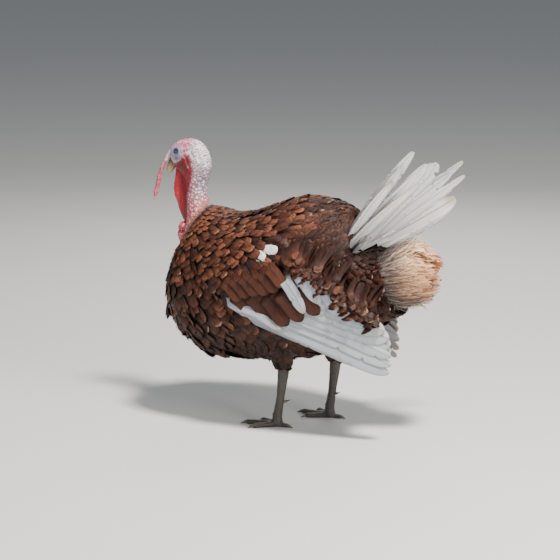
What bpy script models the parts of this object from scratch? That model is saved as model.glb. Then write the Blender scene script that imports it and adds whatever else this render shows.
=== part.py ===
"""A standing domestic turkey tom, life size, parted into the pieces a person would name.

The bird faces -Y, its left side is +X and the floor is z = 0. Every shape is laid out in
the bird's own directions, forward f, left l and up z, and place() turns them into world
coordinates. The feathered body is one long loft from the tips of the undertail coverts to
the bill: each station is a flat ring between a point on the back line and one on the keel
line, and thin cuts part the loft into its nodes.
"""
import math
from collections import namedtuple

import bmesh
import bpy
import numpy as np
from mathutils import Matrix, Vector
from mathutils.bvhtree import BVHTree

# ---------------------------------------------------------------- driving dimensions (m)
MIDDLE_F = -0.0799           # f and l of the middle of the whole bird, the world's origin
MIDDLE_L = -0.0007
GAP = 0.0004                 # clearance between neighbours
CUT = 0.0002                 # half of a thin cut between two lengths of the loft
HEAD_TURN = math.radians(-5.0)   # the head looks a little to the bird's right
TURN_AXIS = 0.215            # f of the upright axis that the head turns about
TURN_FROM = 0.605            # z where the neck starts to turn
TURN_FULL = 0.660            # z from which the head turns as one piece
BACK_ENDS = 0.172            # f behind which nothing turns with the head

# Left and right differ: the right foot stands behind, the right wing lies further forward.
STANCE = {"left": 1.0, "right": -1.0}
FOOT_F = {"left": -0.066, "right": -0.158}
HOCK_F = {"left": -0.086, "right": -0.176}
FOOT_L = 0.078
HOCK_Z = 0.166
ANKLE_Z = 0.026
TOE_OUT = math.radians(7.0)
TOE_LENGTH = {"inner": 0.066, "middle": 0.090, "outer": 0.070, "hind": 0.034}
TOE_ANGLE = {"inner": -34.0, "middle": 0.0, "outer": 33.0, "hind": 172.0}
CLAW_LENGTH = {"inner": 0.017, "middle": 0.020, "outer": 0.017, "hind": 0.015}
TOE_RADIUS = 0.0098
SPUR_LENGTH = 0.024
SPUR_Z = 0.072

EYE_RADIUS = 0.0066
EYE_PLACE = (0.2785, 0.0190, 0.7530)

WING_FORWARD = {"left": 0.0, "right": 0.070}
WING_TUCK = {"left": 0.0, "right": 0.015}
WING_DROP = {"left": 0.0, "right": 0.016}
WING_PAD = 0.017             # depth of the arm and its coverts over the body
VANE = 0.0012                # thickness of a sheet of flight feathers

TAIL_ROOT = (-0.250, 0.497)
TAIL_HALF_SPREAD = math.radians(37.0)
TAIL_FEATHERS = 18
TAIL_LENGTH = 0.400
TAIL_HUB = 0.03              # where the feathers start, inside the rump
TAIL_SPLIT = 0.270           # how far from the root neighbouring feathers part
TAIL_RAISE = math.radians(51.0)
TAIL_DROOP = math.radians(13.0)   # how much lower the outermost feathers are carried
TAIL_LEAN = math.radians(9.0)     # the fan leans so that its left side is the higher

# One ring of the body: back line point, keel line point, half width, where along the
# keel-to-back line it is widest, and the power of its superellipse (2 is an ellipse).
Station = namedtuple("Station", "back keel half widest power")

BODY = [
    Station((-0.5120, 0.4680), (-0.5070, 0.4460), 0.012, 0.50, 2.0),   # 0 undertail tips
    Station((-0.4780, 0.4980), (-0.4730, 0.3960), 0.052, 0.50, 2.0),
    Station((-0.4250, 0.5140), (-0.4280, 0.3440), 0.082, 0.52, 2.0),
    Station((-0.3400, 0.5180), (-0.3760, 0.3200), 0.094, 0.52, 2.0),   # 3 undertail root
    Station((-0.2780, 0.6020), (-0.3280, 0.2880), 0.108, 0.52, 2.0),
    Station((-0.2380, 0.6330), (-0.2660, 0.2450), 0.132, 0.52, 2.0),   # 5 rump
    Station((-0.1900, 0.6460), (-0.1850, 0.2060), 0.154, 0.50, 2.1),
    Station((-0.1250, 0.6520), (-0.1000, 0.1860), 0.172, 0.50, 2.2),
    Station((-0.0550, 0.6340), (-0.0200, 0.1760), 0.182, 0.50, 2.2),   # 8 saddle
    Station((0.0050, 0.6100), (0.0600, 0.1740), 0.185, 0.49, 2.2),
    Station((0.0520, 0.5950), (0.1450, 0.1730), 0.183, 0.48, 2.2),
    Station((0.0880, 0.5900), (0.2280, 0.2170), 0.175, 0.48, 2.2),     # 11 breast
    Station((0.1140, 0.5910), (0.2790, 0.2820), 0.161, 0.48, 2.1),
    Station((0.1330, 0.5940), (0.2980, 0.3450), 0.141, 0.49, 2.1),     # 13 neck base
    Station((0.1500, 0.5985), (0.2890, 0.4080), 0.114, 0.50, 2.0),
    Station((0.1680, 0.6040), (0.2730, 0.4560), 0.084, 0.50, 2.0),
    Station((0.1900, 0.6100), (0.2570, 0.5020), 0.055, 0.50, 2.0),     # 16 feather line
    Station((0.1955, 0.6340), (0.2520, 0.5520), 0.034, 0.50, 2.0),
    Station((0.1950, 0.6560), (0.2540, 0.6050), 0.0275, 0.50, 2.0),
    Station((0.1880, 0.6800), (0.2560, 0.6500), 0.0280, 0.50, 2.0),    # 19 top of the neck
    Station((0.1795, 0.7060), (0.2600, 0.6760), 0.0310, 0.50, 2.1),
    Station((0.1800, 0.7350), (0.2670, 0.6860), 0.0330, 0.52, 2.1),    # 21 nape
    Station((0.1930, 0.7640), (0.2740, 0.6920), 0.0335, 0.54, 2.1),
    Station((0.2140, 0.7820), (0.2800, 0.6970), 0.0325, 0.56, 2.1),    # 23 crown
    Station((0.2380, 0.7890), (0.2860, 0.7020), 0.0300, 0.58, 2.1),
    Station((0.2620, 0.7860), (0.2915, 0.7080), 0.0265, 0.60, 2.1),    # 25 eyes
    Station((0.2850, 0.7790), (0.2970, 0.7140), 0.0220, 0.60, 2.1),
    Station((0.3010, 0.7660), (0.3025, 0.7190), 0.0160, 0.58, 2.1),    # 27 forehead
]
# Where each node of the loft starts and ends, in stations, with its rings and segments.
Length = namedtuple("Length", "name first last rings segments")
LENGTHS = [
    Length("undertail_coverts", 0.0, 3.0, 6, 18),
    Length("rump", 3.0, 5.0, 4, 26),
    Length("trunk", 5.0, 13.0, 17, 26),
    Length("neck_base", 13.0, 16.0, 5, 26),
    Length("neck", 16.0, 19.6, 7, 18),
    Length("head", 19.6, 27.0, 12, 18),
]

# The folded wing in side view, (f, z), for the left wing.
COVERT_TOP = [(0.158, 0.470), (0.110, 0.530), (0.010, 0.560), (-0.100, 0.556), (-0.196, 0.486)]
COVERT_FOOT = [(0.130, 0.430), (0.045, 0.362), (-0.040, 0.326), (-0.120, 0.300),
               (-0.214, 0.318)]
WING_SPAN_L = [(0.16, 0.150), (0.03, 0.186), (-0.14, 0.194), (-0.30, 0.172), (-0.45, 0.132)]

# A fan of flight feathers: first and last root, first and last tip, all (f, z).
Fan = namedtuple("Fan", "roots tips count width split inset")
PRIMARIES = Fan(((-0.060, 0.318), (-0.100, 0.372)), ((-0.322, 0.230), (-0.438, 0.250)),
                7, 0.034, 0.80, 0.010)
SECONDARIES = Fan(((-0.150, 0.350), (-0.150, 0.452)), ((-0.405, 0.236), (-0.400, 0.338)),
                  8, 0.040, 0.86, 0.000)
LONGEST_PRIMARY = 0.32       # how far along the row of tips the longest primary is
PRIMARY_REACH = 0.042        # how much further than the straight row of tips it reaches

COLOURS = {
    "brown_plumage": ((0.115, 0.036, 0.016), 0.62),
    "white_plumage": ((0.80, 0.79, 0.77), 0.55),
    "tan_down": ((0.36, 0.20, 0.11), 0.80),
    "red_skin": ((0.50, 0.030, 0.040), 0.42),
    "pale_skin": ((0.62, 0.42, 0.45), 0.45),
    "horn": ((0.38, 0.27, 0.17), 0.38),
    "leg_scale": ((0.34, 0.23, 0.22), 0.50),
    "claw": ((0.10, 0.075, 0.060), 0.40),
    "beard_hair": ((0.018, 0.014, 0.013), 0.55),
    "eye": ((0.012, 0.010, 0.012), 0.06),
}


# ---------------------------------------------------------------- small helpers
def place(f, l, z):
    """World point of a place given forward, left and up."""
    return Vector((l - MIDDLE_L, MIDDLE_F - f, z))


def turned(f, l, z):
    """The place after the head's turn, which grows up the neck and is full on the head."""
    grown = min(max((z - TURN_FROM) / (TURN_FULL - TURN_FROM), 0.0), 1.0) if f > BACK_ENDS else 0.0
    angle = HEAD_TURN * grown * grown * (3.0 - 2.0 * grown)
    ahead = f - TURN_AXIS
    return place(TURN_AXIS + ahead * math.cos(angle) - l * math.sin(angle),
                 ahead * math.sin(angle) + l * math.cos(angle), z)


def smooth(values, at):
    """Catmull-Rom value of a list of numbers or tuples at a fractional index."""
    knots = np.array(values, dtype=float)
    last = len(knots) - 1
    i = min(int(at), last - 1)
    t = at - i
    before = knots[i - 1] if i > 0 else 2.0 * knots[0] - knots[1]
    after = knots[i + 2] if i + 2 <= last else 2.0 * knots[last] - knots[last - 1]
    a, b = knots[i], knots[i + 1]
    return 0.5 * (2.0 * a + (b - before) * t + (2.0 * before - 5.0 * a + 4.0 * b - after) * t * t
                  + (3.0 * a - before - 3.0 * b + after) * t ** 3)


def along(points, share):
    """A point at a share from 0 to 1 of the way along a smooth curve through points."""
    return smooth(points, share * (len(points) - 1))


def material(name):
    if name in bpy.data.materials:
        return bpy.data.materials[name]
    colour, roughness = COLOURS[name]
    made = bpy.data.materials.new(name)
    made.use_nodes = True
    shader = made.node_tree.nodes["Principled BSDF"]
    shader.inputs["Base Color"].default_value = (*colour, 1.0)
    shader.inputs["Roughness"].default_value = roughness
    shader.inputs["Metallic"].default_value = 0.0
    made.diffuse_color = (*colour, 1.0)
    return made


def new_object(name, points, faces, coat):
    """An object with outward normals, smooth shading and its quads already split.

    A cutter copied from it then has the same facets, so its clearance is the same all over."""
    mesh = bpy.data.meshes.new(name)
    mesh.from_pydata([tuple(p) for p in points], [], faces)
    shape = bmesh.new()
    shape.from_mesh(mesh)
    bmesh.ops.recalc_face_normals(shape, faces=shape.faces)
    if shape.calc_volume(signed=True) < 0.0:
        bmesh.ops.reverse_faces(shape, faces=shape.faces)
    bmesh.ops.triangulate(shape, faces=shape.faces)
    shape.to_mesh(mesh)
    shape.free()
    mesh.shade_smooth()
    mesh.set_sharp_from_angle(angle=math.radians(50.0))
    made = bpy.data.objects.new(name, mesh)
    bpy.context.scene.collection.objects.link(made)
    if coat:
        mesh.materials.append(material(coat))
    return made


def skin_over(rings):
    """Points and faces of a closed tube over rings of equal count, with flat ends."""
    count = len(rings[0])
    points = [p for ring in rings for p in ring]
    faces = [list(range(count)), [(len(rings) - 1) * count + k for k in reversed(range(count))]]
    for i in range(len(rings) - 1):
        for k in range(count):
            step = (k + 1) % count
            faces.append([i * count + k, (i + 1) * count + k,
                          (i + 1) * count + step, i * count + step])
    return points, faces


def cutter_from(shape, gap=GAP):
    """A hidden copy of a shape, grown by the gap, for cutting its neighbours."""
    mesh = shape.data.copy()
    grown = bmesh.new()
    grown.from_mesh(mesh)
    grown.normal_update()
    for vertex in grown.verts:
        vertex.co += vertex.normal * gap * 1.25
    grown.to_mesh(mesh)
    grown.free()
    made = bpy.data.objects.new("cutter_" + shape.name, mesh)
    bpy.context.scene.collection.objects.link(made)
    made.hide_render = True
    made.display_type = 'WIRE'
    return made


def combine(shape, others, operation='DIFFERENCE'):
    """Cut a shape with hidden cutters, or join it with hidden pieces."""
    for other in others:
        other.hide_render = True
        other.display_type = 'WIRE'
        step = shape.modifiers.new(other.name, 'BOOLEAN')
        step.operation = operation
        step.solver = 'EXACT'
        step.object = other
    return shape


# ---------------------------------------------------------------- body, neck and head
def station_at(at):
    back, keel = smooth([s.back for s in BODY], at), smooth([s.keel for s in BODY], at)
    half, widest, power = smooth([(s.half, s.widest, s.power) for s in BODY], at)
    return back, keel, half, widest, power


def body_ring(at, segments):
    """One flat ring of the loft, starting at the back line and running round by the left."""
    back, keel, half, widest, power = station_at(at)
    rise = back - keel
    centre = keel + rise * widest
    ring = []
    for k in range(segments):
        angle = 2.0 * math.pi * k / segments
        up, side = math.cos(angle), math.sin(angle)
        reach = (abs(up) ** power + abs(side) ** power) ** (-1.0 / power)
        share = (1.0 - widest) if up > 0.0 else widest
        f, z = centre + rise * share * up * reach
        ring.append(turned(f, half * side * reach, z))
    return ring


def body_length(part, coat):
    """One node of the loft, shortened by half a thin cut where it meets the next one."""
    edges = np.linspace(part.first, part.last, part.rings)
    rings = [body_ring(at, part.segments) for at in edges]
    for end, inner in ((0, 1), (-1, -2)):
        count = part.segments
        middle = sum(rings[end], Vector()) / count
        normal = (rings[end][0] - middle).cross(rings[end][count // 4] - middle).normalized()
        toward = sum(rings[inner], Vector()) / count - middle
        if normal.dot(toward) < 0.0:
            normal = -normal
        rings[end] = [p + normal * CUT for p in rings[end]]
    points, faces = skin_over(rings)
    return new_object(part.name, points, faces, coat)


# ---------------------------------------------------------------- tubes, cones and blobs
def tube(name, path, radii, coat, segments=10, flatten=1.0):
    """A closed tube along a smooth path of (f, l, z) with its own radius at each point.

    flatten is the width across the bird over the width along it, for flat folds."""
    rings = []
    for i, radius in enumerate(radii):
        here = Vector(path[i])
        ahead = Vector(path[min(i + 1, len(path) - 1)]) - Vector(path[max(i - 1, 0)])
        ahead.normalize()
        side = Vector((0.0, 1.0, 0.0))
        side = (side - ahead * side.dot(ahead)).normalized()
        out = ahead.cross(side)
        rings.append([turned(*(here + (side * math.cos(a) * flatten + out * math.sin(a)) * radius))
                      for a in (2.0 * math.pi * k / segments for k in range(segments))])
    points, faces = skin_over(rings)
    return new_object(name, points, faces, coat)


def curve_tube(name, knots, radii, coat, rings=9, segments=10, flatten=1.0):
    """A tube whose path and radii are read from smooth curves through a few knots."""
    shares = np.linspace(0.0, 1.0, rings)
    path = [along(knots, s) for s in shares]
    sizes = [float(along([(r,) for r in radii], s)[0]) for s in shares]
    return tube(name, path, sizes, coat, segments, flatten)


def ball(name, at, radius, coat, segments=10, rings=7):
    """A round ball with its poles to the sides."""
    shape = bmesh.new()
    bmesh.ops.create_uvsphere(shape, u_segments=segments, v_segments=rings, radius=radius)
    bmesh.ops.rotate(shape, verts=shape.verts, matrix=Matrix.Rotation(math.pi / 2.0, 3, 'Y'))
    bmesh.ops.translate(shape, verts=shape.verts, vec=turned(*at))
    points = [v.co.copy() for v in shape.verts]
    faces = [[v.index for v in f.verts] for f in shape.faces]
    shape.free()
    return new_object(name, points, faces, coat)


# ---------------------------------------------------------------- sheets of flight feathers
def feather_sheet(name, vanes, coat):
    """A thin closed sheet of neighbouring feathers that part towards their tips.

    Each vane is a list of rows (left, shaft, right); rows are shared with the next vane
    until the two feathers split, which the caller shows by equal edge points."""
    shape = bmesh.new()
    for rows in vanes:
        grid = [[shape.verts.new(p) for p in row] for row in rows]
        for lower, upper in zip(grid[:-1], grid[1:]):
            for side in (0, 1):
                shape.faces.new([lower[side], lower[side + 1], upper[side + 1], upper[side]])
    bmesh.ops.remove_doubles(shape, verts=shape.verts, dist=1e-5)
    bmesh.ops.recalc_face_normals(shape, faces=shape.faces)
    mesh = bpy.data.meshes.new(name)
    shape.to_mesh(mesh)
    shape.free()
    mesh.shade_smooth()
    mesh.materials.append(material(coat))
    made = bpy.data.objects.new(name, mesh)
    bpy.context.scene.collection.objects.link(made)
    thick = made.modifiers.new("thickness", 'SOLIDIFY')
    thick.thickness = VANE
    thick.offset = 0.0
    return made


def tip_share(past):
    """How wide a feather still is at a share of the way from the split to its blunt tip."""
    return math.sqrt(1.0 - 0.86 * past ** 2.4)


def tail_direction(angle):
    """Direction (f, l, z) of a tail feather at an angle across the fan."""
    share = angle / TAIL_HALF_SPREAD
    raised = TAIL_RAISE - TAIL_DROOP * abs(share) ** 2.2 + TAIL_LEAN * share
    return Vector((-math.cos(raised) * math.cos(angle), math.sin(angle),
                   math.sin(raised) * math.cos(angle)))


def tail_fan():
    """The raised fan of rectrices, with a low ridge along every shaft."""
    step = 2.0 * TAIL_HALF_SPREAD / (TAIL_FEATHERS - 1)
    root = Vector((TAIL_ROOT[0], 0.0, TAIL_ROOT[1]))
    shared_rows, own_rows = 2, 2
    vanes = []
    for i in range(TAIL_FEATHERS):
        angle = -TAIL_HALF_SPREAD + i * step
        share = abs(angle) / TAIL_HALF_SPREAD
        length = TAIL_LENGTH * (1.0 - 0.20 * share ** 2.6)
        ahead = tail_direction(angle)
        across = (tail_direction(angle + 0.01) - tail_direction(angle - 0.01)).normalized()
        ridge = across.cross(ahead).normalized() * 0.0015
        vane = []
        for row in range(shared_rows + 1):
            reach = TAIL_HUB + (TAIL_SPLIT - TAIL_HUB) * row / shared_rows
            left = root + tail_direction(angle - step / 2.0) * reach
            right = root + tail_direction(angle + step / 2.0) * reach
            vane.append((left, root + ahead * reach + ridge, right))
        for row in range(1, own_rows + 1):
            reach = TAIL_SPLIT + (length - TAIL_SPLIT) * (row / own_rows) ** 0.8
            half = across * reach * math.tan(step / 2.0) * 0.92 * tip_share(row / own_rows)
            middle = root + ahead * reach + ridge
            vane.append((middle - half - ridge, middle, middle + half - ridge))
        vanes.append([[place(*p) for p in row] for row in vane])
    return feather_sheet("tail_fan", vanes, "white_plumage")


def wing_half_width(f):
    """How far out the wing's feathers lie at a place along the bird."""
    ahead, out = zip(*reversed(WING_SPAN_L))
    return float(np.interp(f, ahead, out))


def wing_fan(name, fan, side, reach_more=0.0):
    """Primaries or secondaries of one folded wing as a sheet that parts at the tips."""
    sign, forward, tuck = STANCE[side], WING_FORWARD[side], WING_TUCK[side]
    shares = (0.0, 0.35, fan.split, 0.35 * fan.split + 0.65, 1.0)
    vanes = []

    def at(rib, share):
        """A point of the sheet: rib runs across the feathers, share along them."""
        root = np.array(fan.roots[0]) * (1.0 - rib) + np.array(fan.roots[1]) * rib
        tip = np.array(fan.tips[0]) * (1.0 - rib) + np.array(fan.tips[1]) * rib
        bulge = max(1.0 - ((rib - LONGEST_PRIMARY) / 0.75) ** 2, 0.0)
        run = tip - root
        tip = tip + run / np.linalg.norm(run) * reach_more * bulge
        f, z = root + (tip - root) * share
        z += 0.010 * math.sin(math.pi * share)
        l = wing_half_width(f) - fan.inset - 0.010 * abs(rib - 0.35) - tuck * share
        return f + forward, l, z - WING_DROP[side]

    step = 1.0 / fan.count
    for i in range(fan.count):
        vane = []
        for share in shares:
            f, l, z = at((i + 0.5) * step, share)
            middle = (f, l + 0.0014, z)
            half = 0.5 * step
            if share > fan.split:
                half *= 0.94 * tip_share((share - fan.split) / (1.0 - fan.split))
            left, right = at((i + 0.5) * step - half, share), at((i + 0.5) * step + half, share)
            vane.append([place(p[0], sign * p[1], p[2]) for p in (left, middle, right)])
        vanes.append(vane)
    return feather_sheet(name, vanes, "white_plumage")


# ---------------------------------------------------------------- wings
def wing_pad(side, body):
    """The folded arm under its coverts: a pad that follows the flank it lies on."""
    sign, forward = STANCE[side], WING_FORWARD[side]
    columns, rows = 11, 6
    surface = BVHTree.FromObject(body, bpy.context.evaluated_depsgraph_get())

    def flank(f, z):
        """Half width of the body at (f, z), found from the side."""
        hit = surface.ray_cast(place(f, sign * 0.5, z), Vector((-sign, 0.0, 0.0)))[0]
        return abs(hit.x + MIDDLE_L) if hit else wing_half_width(f) - WING_PAD

    outer, inner = [], []
    for j in range(rows):
        rib = j / (rows - 1)
        for i in range(columns):
            share = i / (columns - 1)
            top, foot = along(COVERT_TOP, share), along(COVERT_FOOT, share)
            f, z = top * (1.0 - rib) + foot * rib
            z -= WING_DROP[side]
            lift = math.sin(math.pi * (0.06 + 0.88 * share)) * math.sin(math.pi * (0.05 + 0.84 * rib))
            base = flank(f + forward, z)
            depth = 0.0055 + WING_PAD * max(lift, 0.0) ** 0.55
            outer.append(place(f + forward, sign * (base + depth), z))
            inner.append(place(f + forward, sign * (base - 0.010), z))
    points = outer + inner
    count = rows * columns
    faces = []
    for j in range(rows - 1):
        for i in range(columns - 1):
            a = j * columns + i
            face = [a, a + 1, a + columns + 1, a + columns]
            faces.append(face)
            faces.append([count + v for v in reversed(face)])
    border = [i for i in range(columns)]
    border += [j * columns + columns - 1 for j in range(1, rows)]
    border += [(rows - 1) * columns + i for i in reversed(range(columns - 1))]
    border += [j * columns for j in reversed(range(1, rows - 1))]
    for a, b in zip(border, border[1:] + border[:1]):
        faces.append([b, a, count + a, count + b])
    return new_object("wing_" + side, points, faces, "brown_plumage")


# ---------------------------------------------------------------- legs and feet
def upright_rings(knots, radii, rings, segments, squash=1.0):
    """Level rings along a leg, read from a few (f, l, z) knots and radii."""
    made = []
    for share in np.linspace(0.0, 1.0, rings):
        f, l, z = along(knots, share)
        radius = float(along([(r,) for r in radii], share)[0])
        made.append([place(f + radius * math.cos(a), l + radius * squash * math.sin(a), z)
                     for a in (2.0 * math.pi * k / segments for k in range(segments))])
    return made


def thigh(side):
    """The feathered end of the leg above the hock."""
    l = STANCE[side] * FOOT_L
    hock = HOCK_F[side]
    knots = [(hock + 0.030, l, 0.300), (hock + 0.018, l, 0.235), (hock + 0.006, l, 0.190),
             (hock, l, HOCK_Z + CUT)]
    points, faces = skin_over(upright_rings(knots, [0.060, 0.056, 0.035, 0.0190], 6, 14, 0.85))
    return new_object("thigh_" + side, points, faces, "brown_plumage")


def shank(side):
    """The bare tarsus from the hock's knob to the ankle."""
    l = STANCE[side] * FOOT_L
    top, foot = HOCK_F[side], FOOT_F[side]
    knots = [(top, l, HOCK_Z - CUT), (top + (foot - top) * 0.12, l, HOCK_Z * 0.86),
             (top + (foot - top) * 0.5, l, HOCK_Z * 0.5), (foot, l, ANKLE_Z + CUT)]
    points, faces = skin_over(upright_rings(knots, [0.0165, 0.0150, 0.0112, 0.0135], 7, 12, 0.86))
    return new_object("shank_" + side, points, faces, "leg_scale")


def toe_direction(side, toe):
    angle = math.radians(TOE_ANGLE[toe]) + TOE_OUT
    return Vector((math.cos(angle), STANCE[side] * math.sin(angle), 0.0))


def toe_radius(share, toe):
    """A toe's radius: tapering, with a swelling at each joint."""
    girth = 0.82 if toe == "hind" else 1.0
    return TOE_RADIUS * girth * (1.0 - 0.34 * share) * (1.0 + 0.07 * math.cos(6.0 * math.pi * share))


def toe_path(side, toe, share):
    """The middle line of a toe, low enough for its pads to be pressed flat on the floor."""
    start = Vector((FOOT_F[side], STANCE[side] * FOOT_L, 0.0))
    spot = start + toe_direction(side, toe) * TOE_LENGTH[toe] * share
    return Vector((spot.x, spot.y, 0.80 * toe_radius(share, toe)))


def foot(side):
    """Three front toes and the hind toe, joined under the ankle and flat below."""
    l = STANCE[side] * FOOT_L
    knots = [(FOOT_F[side], l, 0.003), (FOOT_F[side], l, 0.014), (FOOT_F[side], l, ANKLE_Z - CUT)]
    points, faces = skin_over(upright_rings(knots, [0.0150, 0.0160, 0.0138], 3, 12, 0.95))
    ankle = new_object("foot_" + side, points, faces, "leg_scale")
    toes = []
    for toe in TOE_LENGTH:
        rings = []
        across = Vector((0.0, 0.0, 1.0)).cross(toe_direction(side, toe))
        for share in np.linspace(0.0, 1.0, 5):
            radius, middle = toe_radius(share, toe), toe_path(side, toe, share)
            ring = []
            for k in range(8):
                a = 2.0 * math.pi * (k + 0.5) / 8
                spot = middle + across * math.cos(a) * radius + Vector((0.0, 0.0, math.sin(a) * radius))
                ring.append(place(*spot))
            rings.append(ring)
        toes.append(new_object("toe_%s_%s" % (toe, side), *skin_over(rings), None))
    combine(ankle, toes, 'UNION')
    below = new_object("below_floor_" + side, *box_points((-0.5, -0.5, -0.1), (0.5, 0.5, 0.0)), None)
    return combine(ankle, [below])


def box_points(low, high):
    corners = [(x, y, z) for x in (low[0], high[0]) for y in (low[1], high[1])
               for z in (low[2], high[2])]
    faces = [[0, 1, 3, 2], [4, 6, 7, 5], [0, 4, 5, 1], [2, 3, 7, 6], [0, 2, 6, 4], [1, 5, 7, 3]]
    return corners, faces


def claw(side, toe):
    """A curved nail beyond the end of its toe, the tip resting on a small flat on the floor."""
    ahead = toe_direction(side, toe)
    start = toe_path(side, toe, 1.0) + ahead * GAP
    across = Vector((0.0, 0.0, 1.0)).cross(ahead)
    size = CLAW_LENGTH[toe]
    rings = []
    for share in (0.0, 0.33, 0.66, 0.88, 1.0):
        radius = 0.0050 * (1.0 - share) ** 0.75 + 0.0004
        height = start.z * (1.0 - share ** 1.6) + 0.0022 * math.sin(math.pi * share) * (1.0 - share)
        middle = start + ahead * size * share
        middle.z = max(height, 0.45 * radius)
        ring = []
        for k in range(6):
            a = 2.0 * math.pi * k / 6
            spot = middle + across * math.cos(a) * radius * 0.8
            spot.z = max(spot.z + math.sin(a) * radius * 0.9, 0.0)
            ring.append(place(*spot))
        rings.append(ring)
    return new_object("claw_%s_%s" % (toe, side), *skin_over(rings), "claw")


def spur(side, shank_cutter):
    """The tom's spur, a curved cone low on the back of the tarsus, leaning inward."""
    l = STANCE[side] * FOOT_L
    back = FOOT_F[side] + (HOCK_F[side] - FOOT_F[side]) * 0.35
    inward = -STANCE[side]
    rings = []
    for share in (0.0, 0.3, 0.6, 0.85, 1.0):
        radius = 0.0058 * (1.0 - share) + 0.0006
        middle = Vector((back - 0.006 - SPUR_LENGTH * share, l + inward * 0.010 * share,
                         SPUR_Z + 0.007 * share ** 2))
        rings.append([place(middle.x, middle.y + radius * math.cos(a), middle.z + radius * math.sin(a))
                      for a in (2.0 * math.pi * k / 8 for k in range(8))])
    made = new_object("spur_" + side, *skin_over(rings), "claw")
    return combine(made, [shank_cutter])


# ---------------------------------------------------------------- head ornaments and bill
def beak():
    """The upper bill with its overhanging tip, and the lower bill closed under it."""
    upper = curve_tube("beak_upper",
                       [(0.2960, 0.0, 0.7330), (0.3075, 0.0, 0.7185), (0.3170, 0.0, 0.7010),
                        (0.3215, 0.0, 0.6830)],
                       [0.0120, 0.0096, 0.0066, 0.0012], "horn", 6, 10, 0.86)
    lower = curve_tube("beak_lower",
                       [(0.2900, 0.0, 0.7180), (0.2990, 0.0, 0.7080), (0.3070, 0.0, 0.6950),
                        (0.3115, 0.0, 0.6860)],
                       [0.0090, 0.0074, 0.0050, 0.0018], "horn", 5, 10, 0.95)
    return upper, lower


def snood():
    """The long fleshy snood, from the forehead down past the bill."""
    knots = [(0.2890, 0.000, 0.7600), (0.3010, 0.002, 0.7530), (0.3120, 0.006, 0.7400),
             (0.3250, 0.012, 0.7180), (0.3360, 0.014, 0.6900), (0.3440, 0.014, 0.6600),
             (0.3500, 0.013, 0.6300), (0.3540, 0.012, 0.6080)]
    radii = [0.0060, 0.0070, 0.0066, 0.0062, 0.0064, 0.0066, 0.0060, 0.0028]
    return curve_tube("snood", knots, radii, "red_skin", 12, 8)


def dewlap():
    """The flat fold of throat skin between the bill and the lower neck."""
    front = [(0.2920, 0.7100), (0.2950, 0.6860), (0.2995, 0.6580), (0.2985, 0.6330),
             (0.2880, 0.6090), (0.2780, 0.5800), (0.2680, 0.5560)]
    rear = [(0.2560, 0.7000), (0.2460, 0.6780), (0.2440, 0.6560), (0.2440, 0.6320),
            (0.2440, 0.6080), (0.2440, 0.5800), (0.2420, 0.5560)]
    thick = [(0.0070,), (0.0105,), (0.0120,), (0.0120,), (0.0105,), (0.0085,), (0.0060,)]
    rings = []
    for share in np.linspace(0.0, 1.0, 8):
        a, b = along(front, share), along(rear, share)
        half = float(along(thick, share)[0])
        middle, reach = (a + b) / 2.0, (a - b) / 2.0
        ring = []
        for k in range(12):
            angle = 2.0 * math.pi * k / 12
            f, z = middle + reach * math.cos(angle)
            taper = 1.0 - 0.35 * max(math.cos(angle), 0.0)
            ring.append(turned(f, half * taper * math.sin(angle), z))
        rings.append(ring)
    return new_object("dewlap", *skin_over(rings), "red_skin")


def caruncles():
    """The lobes of bare skin at the foot of the throat, joined in one cluster."""
    lobes = [((0.2600, 0.000, 0.5330), 0.0150), ((0.2620, 0.009, 0.5150), 0.0118),
             ((0.2620, -0.010, 0.5170), 0.0112), ((0.2640, 0.000, 0.5020), 0.0104),
             ((0.2540, 0.014, 0.5370), 0.0105), ((0.2540, -0.014, 0.5390), 0.0105)]
    pieces = [ball("lobe_%d" % i if i else "caruncles", at, radius,
                   None if i else "red_skin", 8, 5) for i, (at, radius) in enumerate(lobes)]
    return combine(pieces[0], pieces[1:], 'UNION')


def beard():
    """The beard of coarse bristles that hangs from the middle of the breast."""
    knots = [(0.2860, 0.0, 0.3700), (0.3080, 0.0, 0.3480), (0.3200, 0.0, 0.3120),
             (0.3190, 0.0, 0.2620)]
    return curve_tube("beard", knots, [0.0050, 0.0075, 0.0080, 0.0035], "beard_hair", 7, 8)


# ---------------------------------------------------------------- the whole bird
def build():
    for old in list(bpy.data.objects):
        bpy.data.objects.remove(old)

    coats = {"undertail_coverts": "tan_down", "neck": "red_skin", "head": "pale_skin"}
    nodes = {part.name: body_length(part, coats.get(part.name, "brown_plumage"))
             for part in LENGTHS}
    grown = {name: cutter_from(node) for name, node in nodes.items()}
    breast = [grown["trunk"], grown["neck_base"]]
    flank = [grown["trunk"], grown["rump"]]
    throat = [grown["head"], grown["neck"], grown["neck_base"]]

    eyes = []
    for side, sign in STANCE.items():
        f, l, z = EYE_PLACE
        eyes.append(ball("eye_" + side, (f, sign * l, z), EYE_RADIUS, "eye"))
    combine(nodes["head"], [cutter_from(eye) for eye in eyes])

    hanging = snood()
    lobes = caruncles()
    fold = dewlap()
    upper, lower = beak()
    combine(hanging, [grown["head"]])
    combine(lobes, throat[1:])
    combine(fold, throat + [cutter_from(lobes)])
    combine(upper, [grown["head"], cutter_from(hanging)])
    combine(lower, [grown["head"], cutter_from(upper), cutter_from(fold)])
    combine(beard(), breast)

    for side in STANCE:
        combine(thigh(side), [grown["trunk"]])
        bare = shank(side)
        foot(side)
        for toe in TOE_LENGTH:
            claw(side, toe)
        spur(side, cutter_from(bare))
        pad = wing_pad(side, nodes["trunk"])
        pad_cutter = cutter_from(pad)
        combine(pad, breast)
        for quills in (wing_fan("primaries_" + side, PRIMARIES, side, PRIMARY_REACH),
                       wing_fan("secondaries_" + side, SECONDARIES, side)):
            combine(quills, flank + [pad_cutter])

    combine(tail_fan(), flank + [grown["undertail_coverts"]])


build()
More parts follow.
